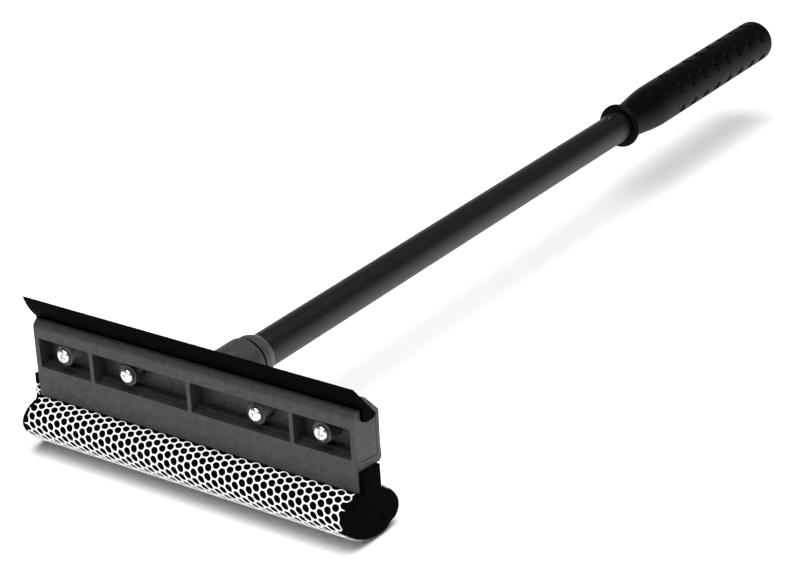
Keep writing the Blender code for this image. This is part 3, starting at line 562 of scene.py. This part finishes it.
def screw_mesh():
    """A screw along Y with its seat at zero and its crown at minus the head's height."""
    profile = [(0, SCREW_LENGTH), (TIP_RADIUS, SCREW_LENGTH - TIP_LENGTH)]
    threads = int((SCREW_LENGTH - TIP_LENGTH - PLAIN_SHANK) / THREAD_PITCH)
    for i in range(threads):
        base = SCREW_LENGTH - TIP_LENGTH - i * THREAD_PITCH
        profile += [(SHANK_RADIUS, base - THREAD_FOOT), (THREAD_RADIUS, base - THREAD_PITCH / 2),
                    (SHANK_RADIUS, base - THREAD_PITCH + THREAD_FOOT)]
    profile += [(SHANK_RADIUS, 0), (HEAD_RADIUS - SEAT_BEVEL, 0), (HEAD_RADIUS, -SEAT_BEVEL_HEIGHT),
                (HEAD_RADIUS, -HEAD_SIDE)]
    shares = [1 - i / CROWN_STEPS for i in range(1, CROWN_STEPS)]
    profile += [(HEAD_RADIUS * share, -HEAD_HEIGHT + CROWN_DROP * share ** 5) for share in shares]
    profile += [(0, -HEAD_HEIGHT)]
    mesh = turned_mesh("screw", profile, SCREW_STEPS, (0, 0), zinc_plate)
    for vertex in mesh.vertices:
        x, y, z = vertex.co
        arm = max(abs(x), abs(z))
        side = min(abs(x), abs(z))
        if y > -CROWN_DEPTH:
            continue
        if arm < CROSS_ARM and side < CROSS_HALF_WIDTH + CROSS_WALL:
            slope = min(1, (CROSS_ARM - arm) / CROSS_SLOPE)
            wall = min(1, max(0, (CROSS_HALF_WIDTH + CROSS_WALL - side) / (2 * CROSS_WALL)))
            vertex.co.y += CROSS_DEPTH * slope * wall
    print("screw is", round((SCREW_LENGTH + HEAD_HEIGHT) / MM, 1), "mm long with", threads, "threads")
    return mesh


source_screw = bpy.data.objects.new("source_screw", screw_mesh())

# %% [markdown]
# ## Growing pieces by rule
# The screws and the net both repeat by a rule, so Geometry Nodes place them. Each tree has named
# size inputs, ends in real geometry with its finish on, and is run to leave a plain mesh.

# %% Tree helpers
def new_tree(name, sizes):
    """A Geometry Nodes group with a geometry in and out and the named size inputs."""
    group = bpy.data.node_groups.new(name, "GeometryNodeTree")
    group.interface.new_socket("Geometry", in_out="INPUT", socket_type="NodeSocketGeometry")
    for label, kind, value in sizes:
        socket = group.interface.new_socket(label, in_out="INPUT", socket_type=kind)
        if value is not None:
            socket.default_value = value
    group.interface.new_socket("Geometry", in_out="OUTPUT", socket_type="NodeSocketGeometry")
    return group, group.nodes.new("NodeGroupInput"), group.nodes.new("NodeGroupOutput")


def finish_tree(group, geometry, material, end):
    """Ends a tree as every tree here ends: real geometry with its material on it."""
    real = add_node(group, "GeometryNodeRealizeInstances", {"Geometry": geometry})
    skin = add_node(group, "GeometryNodeSetMaterial", {
        "Geometry": real.outputs["Geometry"], "Material": material})
    group.links.new(skin.outputs["Geometry"], end.inputs["Geometry"])


def grown(name, source_mesh, group, values):
    """Runs a tree on a mesh and returns the result as a plain mesh."""
    holder = bpy.data.objects.new(name, source_mesh)
    bpy.context.scene.collection.objects.link(holder)
    modifier = holder.modifiers.new(name, "NODES")
    modifier.node_group = group
    for item in group.interface.items_tree:
        if item.in_out == "INPUT" and item.name in values:
            modifier[item.identifier] = values[item.name]
    bpy.context.view_layer.update()
    graph = bpy.context.evaluated_depsgraph_get()
    mesh = bpy.data.meshes.new_from_object(holder.evaluated_get(graph))
    bpy.data.objects.remove(holder, do_unlink=True)
    return mesh


# %% [markdown]
# ## The screws in their bosses
# Each screw's seat is read from the frame, so the outer pair stand further forward by themselves.

# %% Screws set by Geometry Nodes
TURN_LIMIT = 0.9
TURN_SEED = 4
screw_points = []
for number in (1, 2, 3, 4):
    low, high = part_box("housing_screw_%d" % number)
    screw_points.append(((low.x + high.x) / 2, low.y + HEAD_HEIGHT, (low.z + high.z) / 2))
group, start, end = new_tree("screws_on_bosses", [
    ("Screw", "NodeSocketObject", None), ("Turn Seed", "NodeSocketInt", TURN_SEED)])
shape = add_node(group, "GeometryNodeObjectInfo", {"Object": start.outputs["Screw"]})
turn = add_node(group, "FunctionNodeRandomValue", {
    0: (0, -TURN_LIMIT, 0), 1: (0, TURN_LIMIT, 0), "Seed": start.outputs["Turn Seed"]},
    data_type="FLOAT_VECTOR")
copies = add_node(group, "GeometryNodeInstanceOnPoints", {
    "Points": start.outputs["Geometry"], "Instance": shape.outputs["Geometry"],
    "Rotation": turn.outputs[0]})
finish_tree(group, copies.outputs["Instances"], zinc_plate, end)
point_mesh = bpy.data.meshes.new("screw_points")
point_mesh.from_pydata(screw_points, [], [])
screws = grown("pan_head_screws", point_mesh, group, {
    "Screw": source_screw, "Turn Seed": TURN_SEED})
screws.shade_smooth()
screws.set_sharp_from_angle(angle=TURNED_SHARP_ANGLE)
place_piece("pan_head_screws", screws, "head", ["housing_screw_%d" % n for n in (1, 2, 3, 4)])
bpy.data.objects.remove(source_screw, do_unlink=True)

# %% [markdown]
# ## The sponge's section
# Foam and net share one section: a tilted oval that hangs under the skirt, joined to a flat neck
# that is clamped in the head. Angle zero is the oval's back, and angles grow up over its top. The
# oval's middle stands just high enough for its lowest point to reach height zero.

# %% Section of the sponge
OVAL_HALF_DEPTH = 23.2 * MM
OVAL_HALF_HEIGHT = 13.6 * MM
OVAL_TILT = math.radians(-16)
OVAL_CENTRE = (FACE_Y + 8.6 * MM, math.hypot(OVAL_HALF_DEPTH * math.sin(OVAL_TILT),
                                             OVAL_HALF_HEIGHT * math.cos(OVAL_TILT)))
NECK_FRONT = FACE_Y + 1.6 * MM
NECK_BACK = FACE_Y + 16.5 * MM
HALVINGS = 40
FOAM_LOW, FOAM_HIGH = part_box("sponge_core")


def oval_point(angle, inset):
    """A (y, z) point of the oval drawn in by inset."""
    along = (OVAL_HALF_DEPTH - inset) * math.cos(angle)
    across = (OVAL_HALF_HEIGHT - inset) * math.sin(angle)
    return (OVAL_CENTRE[0] + along * math.cos(OVAL_TILT) - across * math.sin(OVAL_TILT),
            OVAL_CENTRE[1] + along * math.sin(OVAL_TILT) + across * math.cos(OVAL_TILT))


def angle_at(y, inset, start, end):
    """The angle between start and end where the oval reaches a depth."""
    for _ in range(HALVINGS):
        middle = (start + end) / 2
        if oval_point(middle, inset)[0] > y:
            start = middle
        else:
            end = middle
    return (start + end) / 2


print("oval's middle at", [round(value, 5) for value in OVAL_CENTRE])


# %% [markdown]
# ## The foam
# A padded piece: soft foam that its net presses in a little all round. Its outline runs down the
# neck's front, round the oval and up the neck's back.

# %% Foam's section
FOAM_INSET = 0.95 * MM
FOAM_STEP = 1.6 * MM
OVAL_STEPS = 110
TOP_STEPS = 8
TOP_FALL = 1.5 * MM


def foam_section():
    """The closed (y, z) outline of the foam, from the neck's top front round to its top back."""
    first = angle_at(NECK_FRONT, FOAM_INSET, math.radians(30), math.radians(150))
    last = angle_at(NECK_BACK, FOAM_INSET, 0, math.radians(120)) + 2 * math.pi
    turns = [first + (last - first) * i / OVAL_STEPS for i in range(OVAL_STEPS + 1)]
    oval = [oval_point(turn, FOAM_INSET) for turn in turns]
    top_front = FOAM_HIGH.z
    top_back = FOAM_HIGH.z - TOP_FALL
    front_side = [(NECK_FRONT, z) for z in spaced(top_front, oval[0][1], FOAM_STEP)[:-1]]
    back_side = [(NECK_BACK, z) for z in spaced(oval[-1][1], top_back, FOAM_STEP)[1:]]
    top = [(NECK_BACK + (NECK_FRONT - NECK_BACK) * i / TOP_STEPS,
            top_back + (top_front - top_back) * i / TOP_STEPS) for i in range(1, TOP_STEPS)]
    return front_side + oval + back_side + top


section = foam_section()
print("foam section has", len(section), "points")

# %% [markdown]
# ## The foam's body
# A fine skin is swept along the section, then every point is drawn in a little by soft noise, so
# no stretch is ruler straight. The right end is a square cut with a small tear low at the back. The
# left end was cut at a slant, so its foot stands out past its top, and the neck has crept out
# above it. Vertex moves are used and not a cloth simulation, because foam in a tight net barely
# sags.

# %% Foam
END_SOFTNESS = 0.7 * MM
RIM_STEP = 0.25 * MM
RIM_SOFTNESS = 0.3 * MM
UNEVEN = 0.5 * MM
UNEVEN_PER_METRE = 90
NECK_CREEP = 2.8 * MM
NECK_CREEP_FOOT = 34.5 * MM
NECK_CREEP_RISE = 2 * MM
END_SLANT = 4.5 * MM
END_SLANT_CURVE = 1.5    # above 1, most of the slant is near the foot
SLANT_RUN = 14 * MM
TEAR_PLACE = Vector((FOAM_HIGH.x, OVAL_CENTRE[0] + 15 * MM, 3.2 * MM))
TEAR_DEPTH = 1.6 * MM
TEAR_RADIUS = 4 * MM
FOAM_SHARP_ANGLE = math.radians(50)
middle_y = sum(y for y, z in section) / len(section)
stations = [FOAM_LOW.x, FOAM_LOW.x + RIM_STEP]
stations += spaced(FOAM_LOW.x + END_SOFTNESS, FOAM_HIGH.x - END_SOFTNESS, FOAM_STEP)
stations += [FOAM_HIGH.x - RIM_STEP, FOAM_HIGH.x]
bm = bmesh.new()
rows = []
for index, x in enumerate(stations):
    edge = min(index, len(stations) - 1 - index)
    shrink = (END_SOFTNESS, RIM_SOFTNESS, 0)[min(edge, 2)]
    row = []
    for y, z in section:
        point = Vector((x, y, z))
        inward = Vector((0, OVAL_CENTRE[0] - y, OVAL_CENTRE[1] - z))
        if z > HEAD_LOW.z:
            inward = Vector((0, middle_y - y, 0))
        inward.normalize()
        dent = UNEVEN * (0.5 + 0.5 * noise.noise(point * UNEVEN_PER_METRE)) + shrink
        if z > NECK_CREEP_FOOT and x < -HALF_HEAD:
            point.x -= NECK_CREEP * min(1, (z - NECK_CREEP_FOOT) / NECK_CREEP_RISE)
        near_end = max(0, 1 - (x - FOAM_LOW.x) / SLANT_RUN)
        point.x -= END_SLANT * near_end * max(0, 1 - z / HEAD_LOW.z) ** END_SLANT_CURVE
        dent += TEAR_DEPTH * max(0, 1 - (point - TEAR_PLACE).length / TEAR_RADIUS)
        row.append(bm.verts.new(point + inward * dent))
    rows.append(row)
count = len(section)
for first, second in zip(rows, rows[1:]):
    for i in range(count):
        j = (i + 1) % count
        bm.faces.new((first[i], second[i], second[j], first[j]))
caps = [bm.faces.new(rows[0]), bm.faces.new(list(reversed(rows[-1])))]
bmesh.ops.triangulate(bm, faces=caps)
bmesh.ops.recalc_face_normals(bm, faces=bm.faces)
foam_mesh = bpy.data.meshes.new("foam_sponge")
bm.to_mesh(foam_mesh)
bm.free()
foam_mesh.materials.append(cut_foam)
foam_mesh.shade_smooth()
foam_mesh.set_sharp_from_angle(angle=FOAM_SHARP_ANGLE)
foam = place_piece("foam_sponge", foam_mesh, "head", ["sponge_core"])

# %% [markdown]
# ## The net
# The net follows a rule over a surface, so Geometry Nodes grow it. The tree lays a flat grid of
# points with every other column half a step along, joins them into triangles and takes the dual:
# six-sided cells, a little taller than wide, and slanted as a net is when it is pulled round a
# roll. Each cell is opened to a hole. The cut ends are frayed by dropping strands past a wavy
# line, and the flat net is then wrapped on its path round the sponge.

# %% Net path
NET_THICKNESS = 0.5 * MM
CELL_ALONG = 4.3 * MM
CELL_ROUND = 4.66 * MM
SKEW = 0.265
HOLE_SHARE = 0.91
END_MARGIN = -0.2 * MM    # below zero, so the cut line lies a little outside the net's length
FRAY = 3.2 * MM
NET_LIFT = 0.05 * MM
TUCK_FRONT = 1.4 * MM
TUCK_BACK = 2.4 * MM
PATH_STEPS = 200
NET_LOW, NET_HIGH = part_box("sponge_net")
first = angle_at(NECK_FRONT - TUCK_FRONT, NET_LIFT, math.radians(30), math.radians(150))
last = angle_at(NECK_BACK + TUCK_BACK, NET_LIFT, 0, math.radians(120)) + 2 * math.pi
path_points = [oval_point(first + (last - first) * i / PATH_STEPS, NET_LIFT)
               for i in range(PATH_STEPS + 1)]
path_mesh = bpy.data.meshes.new("net_path")
path_mesh.from_pydata([(0, y, z) for y, z in path_points],
                      [(i, i + 1) for i in range(PATH_STEPS)], [])
path_length = sum((Vector(b) - Vector(a)).length for a, b in zip(path_points, path_points[1:]))
print("net path is", round(path_length / MM, 1), "mm round")

# %% [markdown]
# ## The net's grid
# A point's number gives its column and its row. From those come its place along the sponge, with
# the slant added, and its place round it. All of this is still flat.

# %% Net tree: a flat grid of points
group, start, end = new_tree("wrapped_net", [
    ("Length", "NodeSocketFloat", 0.2), ("Path Length", "NodeSocketFloat", 0.1),
    ("Cell Along", "NodeSocketFloat", CELL_ALONG), ("Cell Round", "NodeSocketFloat", CELL_ROUND),
    ("Hole Share", "NodeSocketFloat", HOLE_SHARE), ("End Margin", "NodeSocketFloat", END_MARGIN),
    ("Fray", "NodeSocketFloat", FRAY), ("Skew", "NodeSocketFloat", SKEW),
    ("Columns", "NodeSocketInt", 60), ("Rows", "NodeSocketInt", 24)])
sizes = start.outputs
number = add_node(group, "GeometryNodeInputIndex").outputs[0]
lines = add_node(group, "ShaderNodeMath", {0: number, 1: sizes["Rows"]}, operation="DIVIDE")
column = add_node(group, "ShaderNodeMath", {0: lines.outputs[0]}, operation="FLOOR")
row = add_node(group, "ShaderNodeMath", {0: number, 1: sizes["Rows"]}, operation="MODULO")
odd = add_node(group, "ShaderNodeMath", {0: column.outputs[0], 1: 2.0}, operation="MODULO")
half_step = add_node(group, "ShaderNodeMath", {0: odd.outputs[0], 1: 0.5}, operation="MULTIPLY")
staggered = add_node(group, "ShaderNodeMath", {
    0: row.outputs[0], 1: half_step.outputs[0]}, operation="ADD")
lowered = add_node(group, "ShaderNodeMath", {0: staggered.outputs[0], 1: 1.0}, operation="SUBTRACT")
around = add_node(group, "ShaderNodeMath", {
    0: lowered.outputs[0], 1: sizes["Cell Round"]}, operation="MULTIPLY")
last_column = add_node(group, "ShaderNodeMath", {0: sizes["Columns"], 1: 1.0}, operation="SUBTRACT")
middle_column = add_node(group, "ShaderNodeMath", {
    0: last_column.outputs[0], 1: 0.5}, operation="MULTIPLY")
centred = add_node(group, "ShaderNodeMath", {
    0: column.outputs[0], 1: middle_column.outputs[0]}, operation="SUBTRACT")
straight = add_node(group, "ShaderNodeMath", {
    0: centred.outputs[0], 1: sizes["Cell Along"]}, operation="MULTIPLY")
half_path = add_node(group, "ShaderNodeMath", {0: sizes["Path Length"], 1: 0.5}, operation="MULTIPLY")
from_middle = add_node(group, "ShaderNodeMath", {
    0: around.outputs[0], 1: half_path.outputs[0]}, operation="SUBTRACT")
slant = add_node(group, "ShaderNodeMath", {
    0: from_middle.outputs[0], 1: sizes["Skew"]}, operation="MULTIPLY")
along = add_node(group, "ShaderNodeMath", {
    0: straight.outputs[0], 1: slant.outputs[0]}, operation="ADD")
grid = add_node(group, "GeometryNodeMeshGrid", {
    "Vertices X": sizes["Columns"], "Vertices Y": sizes["Rows"]})
flat_place = add_node(group, "ShaderNodeCombineXYZ", {"X": along.outputs[0], "Y": around.outputs[0]})
flat_grid = add_node(group, "GeometryNodeSetPosition", {
    "Geometry": grid.outputs["Mesh"], "Position": flat_place.outputs["Vector"]})
print("grid of points takes", len(group.nodes), "nodes")

# %% [markdown]
# ## Cells opened to holes
# The dual of the triangles gives the six-sided cells. Each cell's face is copied in place, shrunk
# towards its own middle and taken away, which leaves the strands standing between the holes.

# %% Net tree: cells opened to holes
triangles = add_node(group, "GeometryNodeTriangulate", {
    "Mesh": flat_grid.outputs["Geometry"]}, quad_method="SHORTEST_DIAGONAL")
cells = add_node(group, "GeometryNodeDualMesh", {"Mesh": triangles.outputs["Mesh"]})
inner = add_node(group, "GeometryNodeExtrudeMesh", {
    "Mesh": cells.outputs["Dual Mesh"], "Offset Scale": 0.0, "Individual": True})
opened = add_node(group, "GeometryNodeScaleElements", {
    "Geometry": inner.outputs["Mesh"], "Selection": inner.outputs["Top"],
    "Scale": sizes["Hole Share"]})
web = add_node(group, "GeometryNodeDeleteGeometry", {
    "Geometry": opened.outputs["Geometry"], "Selection": inner.outputs["Top"]},
    domain="FACE", mode="ONLY_FACE")
print("opened cells bring it to", len(group.nodes), "nodes")

# %% [markdown]
# ## Frayed ends
# Scissors cut a knitted net unevenly, and cut strands curl away. Strands are dropped past a line
# that a soft noise makes wavy at both ends, and past the two ends of the path.

# %% Net tree: frayed ends
FRAYS_PER_METRE = 420.0
spot = add_node(group, "GeometryNodeInputPosition").outputs[0]
here = add_node(group, "ShaderNodeSeparateXYZ", {"Vector": spot})
wave = add_node(group, "ShaderNodeTexNoise", {
    "Vector": spot, "Scale": FRAYS_PER_METRE, "Detail": 0.0})
swing = add_node(group, "ShaderNodeMath", {0: wave.outputs["Fac"], 1: 0.5}, operation="SUBTRACT")
fray = add_node(group, "ShaderNodeMath", {
    0: swing.outputs[0], 1: sizes["Fray"]}, operation="MULTIPLY")
from_centre = add_node(group, "ShaderNodeMath", {0: here.outputs["X"]}, operation="ABSOLUTE")
reach = add_node(group, "ShaderNodeMath", {
    0: from_centre.outputs[0], 1: fray.outputs[0]}, operation="ADD")
half_length = add_node(group, "ShaderNodeMath", {0: sizes["Length"], 1: 0.5}, operation="MULTIPLY")
limit = add_node(group, "ShaderNodeMath", {
    0: half_length.outputs[0], 1: sizes["End Margin"]}, operation="SUBTRACT")
before = add_node(group, "ShaderNodeMath", {0: here.outputs["Y"], 1: 0.0}, operation="LESS_THAN")
after = add_node(group, "ShaderNodeMath", {
    0: here.outputs["Y"], 1: sizes["Path Length"]}, operation="GREATER_THAN")
off_path = add_node(group, "ShaderNodeMath", {
    0: before.outputs[0], 1: after.outputs[0]}, operation="MAXIMUM")
past_end = add_node(group, "ShaderNodeMath", {
    0: reach.outputs[0], 1: limit.outputs[0]}, operation="GREATER_THAN")
dropped = add_node(group, "ShaderNodeMath", {
    0: off_path.outputs[0], 1: past_end.outputs[0]}, operation="MAXIMUM")
frayed = add_node(group, "GeometryNodeDeleteGeometry", {
    "Geometry": web.outputs["Geometry"], "Selection": dropped.outputs[0]}, domain="FACE")
print("frayed ends bring it to", len(group.nodes), "nodes")

# %% [markdown]
# ## The net wrapped on its path
# Each point's place round the net becomes a distance along the path, and the path gives its depth
# and height there. Points that meet are then joined.

# %% Net tree: wrapped on the path
STRAND_WELD = 0.02 * MM
path = add_node(group, "GeometryNodeMeshToCurve", {"Mesh": start.outputs["Geometry"]})
sample = add_node(group, "GeometryNodeSampleCurve", {
    "Curves": path.outputs["Curve"], "Length": here.outputs["Y"]},
    mode="LENGTH", use_all_curves=True)
path_spot = add_node(group, "ShaderNodeSeparateXYZ", {"Vector": sample.outputs["Position"]})
wrapped_place = add_node(group, "ShaderNodeCombineXYZ", {
    "X": here.outputs["X"], "Y": path_spot.outputs["Y"], "Z": path_spot.outputs["Z"]})
wrapped = add_node(group, "GeometryNodeSetPosition", {
    "Geometry": frayed.outputs["Geometry"], "Position": wrapped_place.outputs["Vector"]})
joined = add_node(group, "GeometryNodeMergeByDistance", {
    "Geometry": wrapped.outputs["Geometry"], "Distance": STRAND_WELD})
finish_tree(group, joined.outputs["Geometry"], knitted_polyester, end)
print("whole net tree has", len(group.nodes), "nodes")

# %% [markdown]
# ## The net grown and thickened
# The grid is run a few columns and rows larger than the net, so the fray line always cuts whole
# cells. Solidify then gives the flat web its thickness on the inside, and one subdivision rounds
# it into yarn.

# %% Net grown and thickened
SPARE_COLUMNS = 6
SPARE_ROWS = 4
net_length = NET_HIGH.x - NET_LOW.x
net_mesh = grown("wrapped_net", path_mesh, group, {
    "Length": net_length, "Path Length": path_length, "Cell Along": CELL_ALONG,
    "Cell Round": CELL_ROUND, "Hole Share": HOLE_SHARE, "End Margin": END_MARGIN, "Fray": FRAY,
    "Skew": SKEW, "Rows": int(path_length / CELL_ROUND) + SPARE_ROWS,
    "Columns": int((net_length + SKEW * path_length) / CELL_ALONG) + SPARE_COLUMNS})


def yarn_from_web(mesh, shift, centre):
    """Shifts a flat web along X, faces it away from a centre line, and returns its area."""
    bm = bmesh.new()
    bm.from_mesh(mesh)
    bmesh.ops.translate(bm, vec=(shift, 0, 0), verts=bm.verts)
    outward = 0
    for face in bm.faces:
        middle = face.calc_center_median()
        outward += face.normal.dot(middle - Vector((middle.x, centre[0], centre[1])))
    if outward < 0:
        bmesh.ops.reverse_faces(bm, faces=bm.faces)
    bm.to_mesh(mesh)
    bm.free()
    mesh.shade_smooth()
    return sum(face.area for face in mesh.polygons)


def thicken(net):
    """Gives a flat web its yarn thickness on the inside, and rounds it once."""
    wall = net.modifiers.new("yarn_thickness", "SOLIDIFY")
    wall.thickness = NET_THICKNESS
    wall.offset = -1
    soft = net.modifiers.new("rounded_yarn", "SUBSURF")
    soft.levels = 1
    soft.render_levels = 1


web_area = yarn_from_web(net_mesh, 0, OVAL_CENTRE)
net = place_piece("knitted_net", net_mesh, "head", ["sponge_net"])
thicken(net)
print("strands cover", round(web_area / (net_length * path_length), 3), "of the net's rectangle")

# %% [markdown]
# ## The net's loose scrap
# The net is trapped between foam and housing, and at the left end a scrap of it comes out over
# the foam's neck. It is the same tree again, run on a short upright path.

# %% Net scrap
SCRAP_TOP = 36 * MM
SCRAP_FOOT = 28.5 * MM
SCRAP_LENGTH = 3.6 * MM
SCRAP_STEPS = 20
SCRAP_LIFT = 1.2 * MM
SCRAP_OUT = 0.6 * MM
SCRAP_FRAY = 1.6 * MM
SCRAP_CELL = 0.62    # the slack scrap's cells have closed up, so they are this much smaller
SCRAP_HOLE = 0.8
scrap_height = SCRAP_TOP - SCRAP_FOOT
scrap_path = bpy.data.meshes.new("scrap_path")
scrap_path.from_pydata([(0, NECK_FRONT - SCRAP_LIFT, SCRAP_TOP - scrap_height * i / SCRAP_STEPS)
                        for i in range(SCRAP_STEPS + 1)],
                       [(i, i + 1) for i in range(SCRAP_STEPS)], [])
scrap_mesh = grown("net_scrap", scrap_path, group, {
    "Length": SCRAP_LENGTH, "Path Length": scrap_height, "Cell Along": CELL_ALONG * SCRAP_CELL,
    "Cell Round": CELL_ROUND * SCRAP_CELL, "Hole Share": SCRAP_HOLE, "End Margin": 0.0,
    "Fray": SCRAP_FRAY, "Skew": SKEW, "Columns": 8, "Rows": 6})
yarn_from_web(scrap_mesh, FOAM_LOW.x - SCRAP_OUT, (NECK_BACK, SCRAP_TOP))
scrap = place_piece("net_scrap", scrap_mesh, "head", [])
thicken(scrap)

# %% [markdown]
# ## The stage
# The floor is plain and pale, so that nothing but the tool is looked at.

# %% Stage
FLOOR_HALF = 2.0
FLOOR_DROP = -0.4 * MM    # the floor lies just under height zero, clear of the net
floor_corners = [(-1, -1), (1, -1), (1, 1), (-1, 1)]
floor_mesh = bpy.data.meshes.new("floor")
floor_mesh.from_pydata([(x * FLOOR_HALF, y * FLOOR_HALF, FLOOR_DROP) for x, y in floor_corners],
                       [], [(0, 1, 2, 3)])
floor = bpy.data.objects.new("floor", floor_mesh)
bpy.context.scene.collection.objects.link(floor)
pale_floor, tree, shader = new_finish("pale_painted_floor", "F4F4F4", 0.95)
floor_mesh.materials.append(pale_floor)

# %% [markdown]
# ## The room and the lamps
# The room is bright low down, which lights the tube's two edges, and dim overhead, which keeps
# black rubber black. One big soft lamp hangs above, and a small one fills the front. The standard
# view keeps the pale floor white.

# %% Room and lamps
HORIZON_LIGHT, OVERHEAD_LIGHT = 1.0, 0.1
BRIGHT_BELOW, DIM_ABOVE = 0.02, 0.3    # heights of a direction, where 0 is level and 1 straight up
TOP_LAMP_PLACE, TOP_LAMP_SIZE, TOP_LAMP_POWER = Vector((0.3, -0.6, 3.0)), 3.2, 190
FRONT_LAMP_PLACE, FRONT_LAMP_SIZE, FRONT_LAMP_POWER = Vector((0.2, FACE_Y - 1.6, 1.2)), 1.0, 8
world = bpy.data.worlds.new("bright_room")
bpy.context.scene.world = world
world.use_nodes = True
room = world.node_tree
direction = add_node(room, "ShaderNodeTexCoord").outputs["Generated"]
height = add_node(room, "ShaderNodeSeparateXYZ", {"Vector": direction})
dimming = add_node(room, "ShaderNodeMapRange", {
    "Value": height.outputs["Z"], "From Min": BRIGHT_BELOW, "From Max": DIM_ABOVE,
    "To Min": HORIZON_LIGHT, "To Max": OVERHEAD_LIGHT})
background = room.nodes["Background"]
background.inputs["Color"].default_value = linear("FFFFFF")
room.links.new(dimming.outputs["Result"], background.inputs["Strength"])
bpy.context.scene.view_settings.view_transform = "Standard"


def soft_lamp(name, place, target, size, power):
    """A square soft lamp at a place, aimed at a target."""
    data = bpy.data.lights.new(name, "AREA")
    data.size = size
    data.energy = power
    lamp = bpy.data.objects.new(name, data)
    lamp.location = place
    lamp.rotation_euler = (target - place).to_track_quat("-Z", "Y").to_euler()
    bpy.context.scene.collection.objects.link(lamp)
    print(name, size, "m across,", power, "watts")


soft_lamp("top_lamp", TOP_LAMP_PLACE, Vector((0, 0, 0)), TOP_LAMP_SIZE, TOP_LAMP_POWER)
soft_lamp("front_lamp", FRONT_LAMP_PLACE, Vector((0, FACE_Y, 40 * MM)), FRONT_LAMP_SIZE,
          FRONT_LAMP_POWER)
